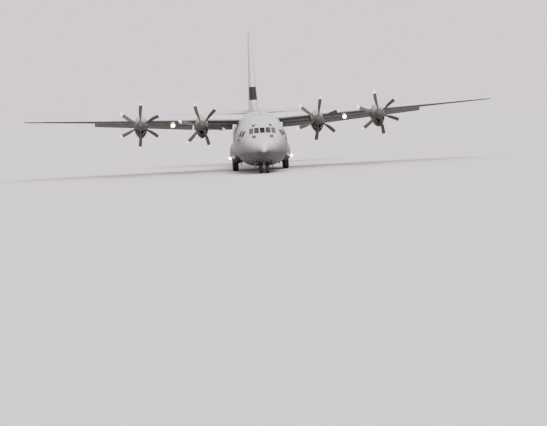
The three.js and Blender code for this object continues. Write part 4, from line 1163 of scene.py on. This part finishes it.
# %% Fin and fillet
# Each row of the fin: height, leading edge, trailing edge, thickness as a share, hinge line.
# Each row of the fillet: station, top, half width.
FIN_ROWS = [(4300, 22200, 29230, 0.14, 28060), (5060, 22650, 29140, 0.14, 28000),
            (11690, 26200, 28311, 0.13, 27437), (12250, 26980, 28131, 0.06, 27387)]
COVE_LOW, COVE_HIGH = 5070, 11670
FILLET_ROWS = [(19300, 4830, 60), (20600, 4960, 110), (21700, 5180, 170), (22500, 5560, 230),
               (23400, 5880, 250)]


def fin_section(z):
    _, edge, back, ratio, hinge = row_at(FIN_ROWS, z)
    chord = back - edge
    made = Section(chord, ratio, 0, lambda u, v: spot(v * chord, edge + u * chord, z))
    made.hinge = (hinge - edge) / chord
    return made


def fin_cove(z):
    made = fin_section(z)
    return made.hinge - half_thickness(made.hinge, made.ratio) - 30 / made.chord


fin = bmesh.new()
span_of(fin, fin_section, (4500, COVE_LOW))
loft([fin_section(z).ring(fin_cove(z)) for z in stations(COVE_LOW, COVE_HIGH, 600)], fin)
span_of(fin, fin_section, (COVE_HIGH, 11690, 11830, 11970, 12090, 12180, 12230, 12250))
piece("fin_skin", fin, tail_grey, replaces=("fin", "fin_aerial_panel"))
piece("fin_fillet", swelling(FILLET_ROWS, 240, bottom=4500, wide=4600, sides=40), tail_grey)


# %% [markdown]
# The panel and the pale edges are thin skins over the fin: the same rings, a hair larger.

# %% Leading edge panels
PANEL_LOW, PANEL_HIGH, PANEL_BACK = 5900, 7100, 0.14


def edge_skin(z0, z1, back, proud=6, count=14):
    """A strip wrapped round the fin's leading edge."""
    rings = []
    for z in stations(z0, z1, 300):
        made = fin_section(z)
        ring = []
        for depth in (proud, -30):
            steps = [back * (1 - k / count) ** 2 for k in range(count)]
            lift = depth / made.chord
            over = [made.point(u, made.upper(u) + lift) for u in steps] + [made.point(-lift, 0)]
            over += [made.point(u, made.lower(u) - lift) for u in reversed(steps)]
            ring += over if depth > 0 else over[::-1]
        rings.append(ring)
    return loft(rings)


piece("fin_aerial_cover", edge_skin(PANEL_LOW, PANEL_HIGH, PANEL_BACK), dark_panel)
piece("fin_edge_strip", edge_skin(PANEL_HIGH + 6, 11500, 0.07, 5), edge_grey)
piece("fin_edge_foot", edge_skin(5560, PANEL_LOW - 6, 0.06, 5), edge_grey)

# %% [markdown]
# ## Wheels
# A tyre is its outline spun about the axle: bead, sidewall, shoulder and a crown with four round
# grooves. The hub is spun the same way, and a ring of bolts holds its two halves together.

# %% Outlines of tyre and hub
AXLE_RADIUS = 62
NOSE_RADIUS, NOSE_HALF, NOSE_RIM, NOSE_X, NOSE_STATION = 495, 150, 215, 265, 2300
MAIN_RADIUS, MAIN_HALF, MAIN_RIM, MAIN_X = 710, 250, 300, 2175
MAIN_STATIONS = (("front", 11300), ("rear", 12840))


def wheel_spin(mesh, outline, x, station, height, steps=64):
    """A closed outline of (radius, across) places spun about a wheel's axle."""
    points = [mesh.verts.new(spot(x + across, station, height + radius)) for radius, across in outline]
    edges = [mesh.edges.new(pair) for pair in zip(points, points[1:] + points[:1])]
    bmesh.ops.spin(mesh, geom=points + edges, cent=spot(x, station, height), axis=(1, 0, 0), dvec=(0, 0, 0),
                   angle=2 * math.pi, steps=steps, use_merge=True)
    return mesh


def tyre_outline(radius, half, rim):
    side = [(rim + r, -half * a) for r, a in ((3, 0.7), (22, 0.8), (40, 0.84), (46, 0.88))]
    side += [(radius * r, -half * a) for r, a in ((0.66, 0.965), (0.72, 1), (0.8, 0.99), (0.86, 0.95),
                                                  (0.91, 0.88), (0.95, 0.79), (0.978, 0.69), (0.994, 0.6))]
    crown = []
    for place in (-0.45, -0.15, 0.15, 0.45):
        for offset, depth in ((-9, 0), (-6, 12), (6, 12), (9, 0)):
            crown.append((radius - 2 - depth, place * half + offset))
    return side + crown + [(r, -a) for r, a in reversed(side)]


def hub_outline(half, rim, bore):
    deep, web = 0.68 * half, 0.35 * half
    side = [(bore, -deep * 0.98), (bore * 1.35, -deep * 0.98), (bore * 1.5, -deep * 0.86),
            (bore * 1.75, -web), (0.6 * rim, -web * 0.86), (0.78 * rim, -web), (0.83 * rim, -web * 1.3),
            (0.88 * rim, -deep * 0.95), (0.91 * rim, -deep), (0.995 * rim, -deep)]
    return side + [(r, -a) for r, a in reversed(side)]


print("places round a tyre's outline", len(tyre_outline(MAIN_RADIUS, MAIN_HALF, MAIN_RIM)))


# %% Wheels
def add_hub(mesh, x, station, height, half, rim, bore, bolts=10):
    """A spun hub whose two halves are held together by bolts."""
    wheel_spin(mesh, hub_outline(half, rim, bore), x, station, height, 48)
    reach = 0.35 * half + 10
    for a in turns_of(bolts, 0.5):
        s, z = station + 0.68 * rim * math.sin(a), height + 0.68 * rim * math.cos(a)
        round_rod(13, (x + reach, s, z), (x - reach, s, z), mesh, 6)


hubs = bmesh.new()
for word, side in SIDES:
    outline = tyre_outline(NOSE_RADIUS, NOSE_HALF, NOSE_RIM)
    tyre = wheel_spin(bmesh.new(), outline, side * NOSE_X, NOSE_STATION, NOSE_RADIUS)
    piece(f"nose_tyre_rubber_{word}", tyre, rubber, "nose_wheels", (f"nose_tyre_{word}",))
    add_hub(hubs, side * NOSE_X, NOSE_STATION, NOSE_RADIUS, NOSE_HALF, NOSE_RIM, AXLE_RADIUS * 0.96)
end = NOSE_X + 88
round_rod(AXLE_RADIUS, (-end, NOSE_STATION, NOSE_RADIUS), (end, NOSE_STATION, NOSE_RADIUS), hubs)
piece("nose_wheel_hubs", hubs, wheel_enamel, "nose_wheels", ("nose_hubs",))

for word, side in SIDES:
    for place, s in MAIN_STATIONS:
        wheel = f"{place}_{word}"
        outline = tyre_outline(MAIN_RADIUS, MAIN_HALF, MAIN_RIM)
        tyre, hub = bmesh.new(), bmesh.new()
        wheel_spin(tyre, outline, side * MAIN_X, s, MAIN_RADIUS, 80)
        add_hub(hub, side * MAIN_X, s, MAIN_RADIUS, MAIN_HALF, MAIN_RIM, AXLE_RADIUS + 1.5)
        body = f"main_wheel_{wheel}"
        piece(f"main_tyre_rubber_{wheel}", tyre, rubber, body, (f"main_tyre_{wheel}",))
        piece(f"main_wheel_hub_{wheel}", hub, wheel_enamel, body, (f"main_hub_{wheel}",))

# %% [markdown]
# ## Landing gear
# The legs keep their solids and get gloss enamel. What a plain leg lacks is added: polished pistons on
# the main legs, scissor links that hold the nose fork in line, brake packs and hydraulic pipes.

# %% Gear legs
MAIN_LEG = 1830
finish_node("nose_leg", gear_enamel)
finish_node("nose_fork", gear_enamel)
for word, _ in SIDES:
    finish_node(f"main_gear_frame_{word}", gear_enamel)
    finish_node(f"nose_gear_door_{word}", door_grey)
    finish_node(f"main_gear_door_{word}", door_grey)


def pipe(mesh, places, radius=9, sides=8):
    """A thin pipe bent through places, as a chain of overlapping rods."""
    for a, b in zip(places, places[1:]):
        round_rod(radius, a, b, mesh, sides)
    for place in places[1:-1]:
        bmesh.ops.create_uvsphere(mesh, u_segments=sides, v_segments=6, radius=radius * MM,
                                  matrix=Matrix.Translation(spot(*place)))
    return mesh


pistons, pipes, brakes, collars = (bmesh.new() for _ in range(4))
for _, s in MAIN_STATIONS:
    round_rod(64, (MAIN_LEG, s, 800), (MAIN_LEG, s, 1010), pistons)
    for z in (1010, 1150, 1560):
        round_rod(76, (MAIN_LEG, s, z), (MAIN_LEG, s, z + 30), collars)
    for x, r in ((1935, 168), (1962, 176), (1989, 168)):
        round_rod(r, (x - 12, s, MAIN_RADIUS), (x + 12, s, MAIN_RADIUS), brakes)
    pipe(pipes, [(1890, s + 40, 1500), (1900, s + 60, 1180), (1908, s + 70, 900), (1925, s + 90, 800)])
both_sides(collars)
both_sides(pipes)
for z in (975, 1120, 1400):
    round_rod(122, (0, NOSE_STATION, z), (0, NOSE_STATION, z + 34), collars)
pipe(pipes, [(60, NOSE_STATION + 100, 1380), (75, NOSE_STATION + 110, 1180), (80, NOSE_STATION + 108, 1010)])
piece("leg_pistons", both_sides(pistons), strut_chrome)
piece("brake_packs", both_sides(brakes), engine_metal)
piece("leg_collars", collars, engine_metal)
piece("brake_pipes", pipes, seal_black)

# %% Scissor links on the steered fork
UPPER_LINK = [(2392, 905), (2404, 930), (2545, 812), (2548, 780), (2522, 772)]
LOWER_LINK = [(2390, 640), (2395, 600), (2548, 770), (2545, 806), (2520, 812)]
links = both_sides(prism(LOWER_LINK, 0, 18, 44, prism(UPPER_LINK, 0, 18, 44)))
round_rod(17, (-62, 2534, 791), (62, 2534, 791), links, 16)
piece("nose_scissor_links", links, gear_enamel, "nose_fork")

# %% [markdown]
# ## Lamps
# The photograph shows four lamps alight: one under each wing between the engines, and one low on the
# outside of each sponson. Each is a metal bowl drawn out to a point behind a bright round lens.

# %% Landing and taxi lamps
# Rings of a bowl by share of its length, and of a lens by reach ahead, each with a share of the radius.
# A lamp has its x, station, height and radius.
LAMPS, BOWL_LENGTH = ((7400, 10400, 4225, 165), (2650, 9960, 1150, 122)), 760
BOWL = [(0, 1.02), (0.05, 1.1), (0.22, 1.1), (0.45, 0.95), (0.7, 0.66), (0.9, 0.34), (1, 0.14)]
LENS = [(-4, 0.97), (10, 0.95), (30, 0.8), (42, 0.55), (48, 0.22)]
bowls, lenses, bezels = bmesh.new(), bmesh.new(), bmesh.new()
for x, s, z, radius in LAMPS:
    loft([hoop(x, s + share * BOWL_LENGTH, z, radius * wide) for share, wide in BOWL], bowls)
    loft([hoop(x, s - ahead, z, radius * wide) for ahead, wide in LENS], lenses)
    round_rod(radius * 1.08, (x, s - 2, z), (x, s - 12, z), bezels, 28)
piece("lamp_bowls", both_sides(bowls), nacelle_grey)
piece("lamp_lenses", both_sides(lenses), landing_lamp)
piece("lamp_bezels", both_sides(bezels), strut_chrome)

# %% [markdown]
# Small coloured lamps mark the wing tips, red on the left and green on the right, and red beacons stand
# on the fin and under the belly.


# %% Position lamps and beacons
def drop(mesh, x, station, z, length, radius):
    """A small drop shape lying along the flight."""
    size = Matrix.Diagonal((radius * MM, length * MM / 2, radius * MM, 1))
    bmesh.ops.create_uvsphere(mesh, u_segments=16, v_segments=10, radius=1,
                              matrix=Matrix.Translation(spot(x, station, z)) @ size)
    return mesh


TIP_LAMP = 20100
_, s, z = place_of(wing_section(TIP_LAMP, 0.9, 0.7).point(0.02, 0))
for word, side, glow in (("left", 1, red_lamp), ("right", -1, green_lamp)):
    piece(f"tip_lamp_{word}", drop(bmesh.new(), side * TIP_LAMP, s + 60, z, 260, 42), glow)
beacons = bmesh.new()
drop(beacons, 0, 27560, 12190, 200, 55)
drop(beacons, 0, 8600, 556, 230, 70)
piece("beacons", beacons, red_lamp)

# %% [markdown]
# ## Small things on the skin
# Pitot tubes feel the air ahead of the skin. Blade aerials stand on crown and belly like small fins,
# wipers lie across the panes, and thin wicks at the trailing edges let static electricity off.


# %% Aerials
def blade_aerial(mesh, station, z, height, chord):
    """A small swept fin, thin across and rounded at its tip."""
    rings = []
    for share, size in ((0, 1), (0.5, 0.82), (0.85, 0.62), (0.97, 0.5), (1, 0.36)):
        front, wide, level = station + chord * 0.5 * share, chord * size, z + height * share
        rings.append([spot(math.sin(a) * wide * 0.07, front + (0.5 + math.cos(a) / 2) * wide, level)
                      for a in turns_of(16)])
    return loft(rings, mesh)


# Each aerial's station, height of the skin, reach up or down, and chord
AERIALS = ((5650, 4835, 330, 330), (7350, 4835, 250, 260), (17600, 4835, 300, 300),
           (6150, 560, -260, 300), (9000, 560, -200, 260), (15600, 560, -190, 240))
aerials = bmesh.new()
for place in AERIALS:
    blade_aerial(aerials, *place)
piece("blade_aerials", aerials, body_grey)


# %% Pitot tubes and wipers
def skin_reach(row, z):
    """How far out the skin of a section of the body lies at a height."""
    _, bottom, top, half, wide, square = row
    power, rise = (2, top - wide) if z >= wide else (square, wide - bottom)
    return half * max(0, 1 - abs((z - wide) / rise) ** power) ** (1 / power)


def nose_skin(x, z):
    """The station at which the nose's skin passes through a place seen from the front."""
    near, far = 200, 5000
    for _ in range(24):
        middle = (near + far) / 2
        inside = x < skin_reach(eased(NOSE_ROWS, middle), z)
        near, far = (near, middle) if inside else (middle, far)
    return far


pitots, wipers = bmesh.new(), bmesh.new()
for x, z in ((1330, 2080), (1375, 2420)):
    s, out = nose_skin(x, z), x + 105
    pipe(pitots, [(x - 25, s + 60, z), (out, s + 10, z), (out, s - 270, z)], 14, 12)
    drop(pitots, out, s - 275, z, 90, 15)
# Each wiper's foot and how far out its arm leads; the blade stands upright at the arm's end
ARM_RISE = 290
for x, z, reach in ((60, 3345, 150), (420, 3325, 190), (800, 3300, 170)):
    foot, out, top = nose_skin(x, z) - 6, x + reach, z + ARM_RISE
    pipe(wipers, [(x, foot, z), (out, nose_skin(out, top) + 14, top)], 9, 6)
    pipe(wipers, [(out, nose_skin(out, h) + 22, h) for h in (top - 150, top - 50, top + 50, top + 150)], 8, 6)
    round_rod(20, (x, foot - 12, z), (x, foot + 40, z), wipers, 12)
piece("pitot_tubes", both_sides(pitots), strut_chrome)
piece("wipers", both_sides(wipers), seal_black)

# %% Static wicks
wicks = bmesh.new()
for x in (19760, 19900, 20040):
    x, s, z = place_of(wing_section(x, 0.97, 0.8).point(0.985, 0.004))
    round_rod(5, (x, s, z), (x, s + 150, z + 12), wicks, 6)
for x in (7760, 7880):
    x, s, z = place_of(tail_section(x).point(0.98, 0))
    round_rod(5, (x, s, z), (x, s + 120, z), wicks, 6)
piece("static_wicks", both_sides(wicks), seal_black)

# %% [markdown]
# Hatches, service panels and the round windows of the rear side doors lie almost flush. A hatch is a
# thin band just proud of the skin, kept only inside the hatch's outline.

# %% Hatches on crown and belly
# Each hatch's first and last station, and its half width
CROWN_HATCHES = ((4300, 4900, 330), (6500, 7150, 340), (16650, 17300, 340))
BELLY_HATCHES = ((5200, 5700, 260), (7200, 7900, 380), (8000, 8250, 150))
band = thing("skin_hatches", loft(body_rings(4100, 19000, -5)))
carve(band, loft(body_rings(4000, 19100, 12)))
covers = bmesh.new()
for hatches, corner, low, high in ((CROWN_HATCHES, 110, 4300, 5200), (BELLY_HATCHES, 40, 300, 900)):
    for s0, s1, half in hatches:
        prism(rounded([(-half, s0), (half, s0), (half, s1), (-half, s1)], corner), 2, low, high, covers)
carve(band, covers, "INTERSECT")
dress(band, body_grey)

# %% Round windows
WINDOW_STATION, WINDOW_HEIGHT, BOLT_RING, BOLTS = 15750, 2500, 147, 12
frames, windows = bmesh.new(), bmesh.new()
x, centre = skin_reach(NOSE_ROWS[-1], WINDOW_HEIGHT), (WINDOW_STATION, WINDOW_HEIGHT)
for depth, radius, mesh in ((8, 165, frames), (11, 128, windows)):
    round_rod(radius, (x - 40, *centre), (x + depth, *centre), mesh, 40)
for a in turns_of(BOLTS):
    bolt = WINDOW_STATION + BOLT_RING * math.sin(a), WINDOW_HEIGHT + BOLT_RING * math.cos(a)
    round_rod(8, (x - 10, *bolt), (x + 13, *bolt), frames, 8)
piece("porthole_rings", both_sides(frames), engine_metal)
piece("porthole_panes", both_sides(windows), glass)
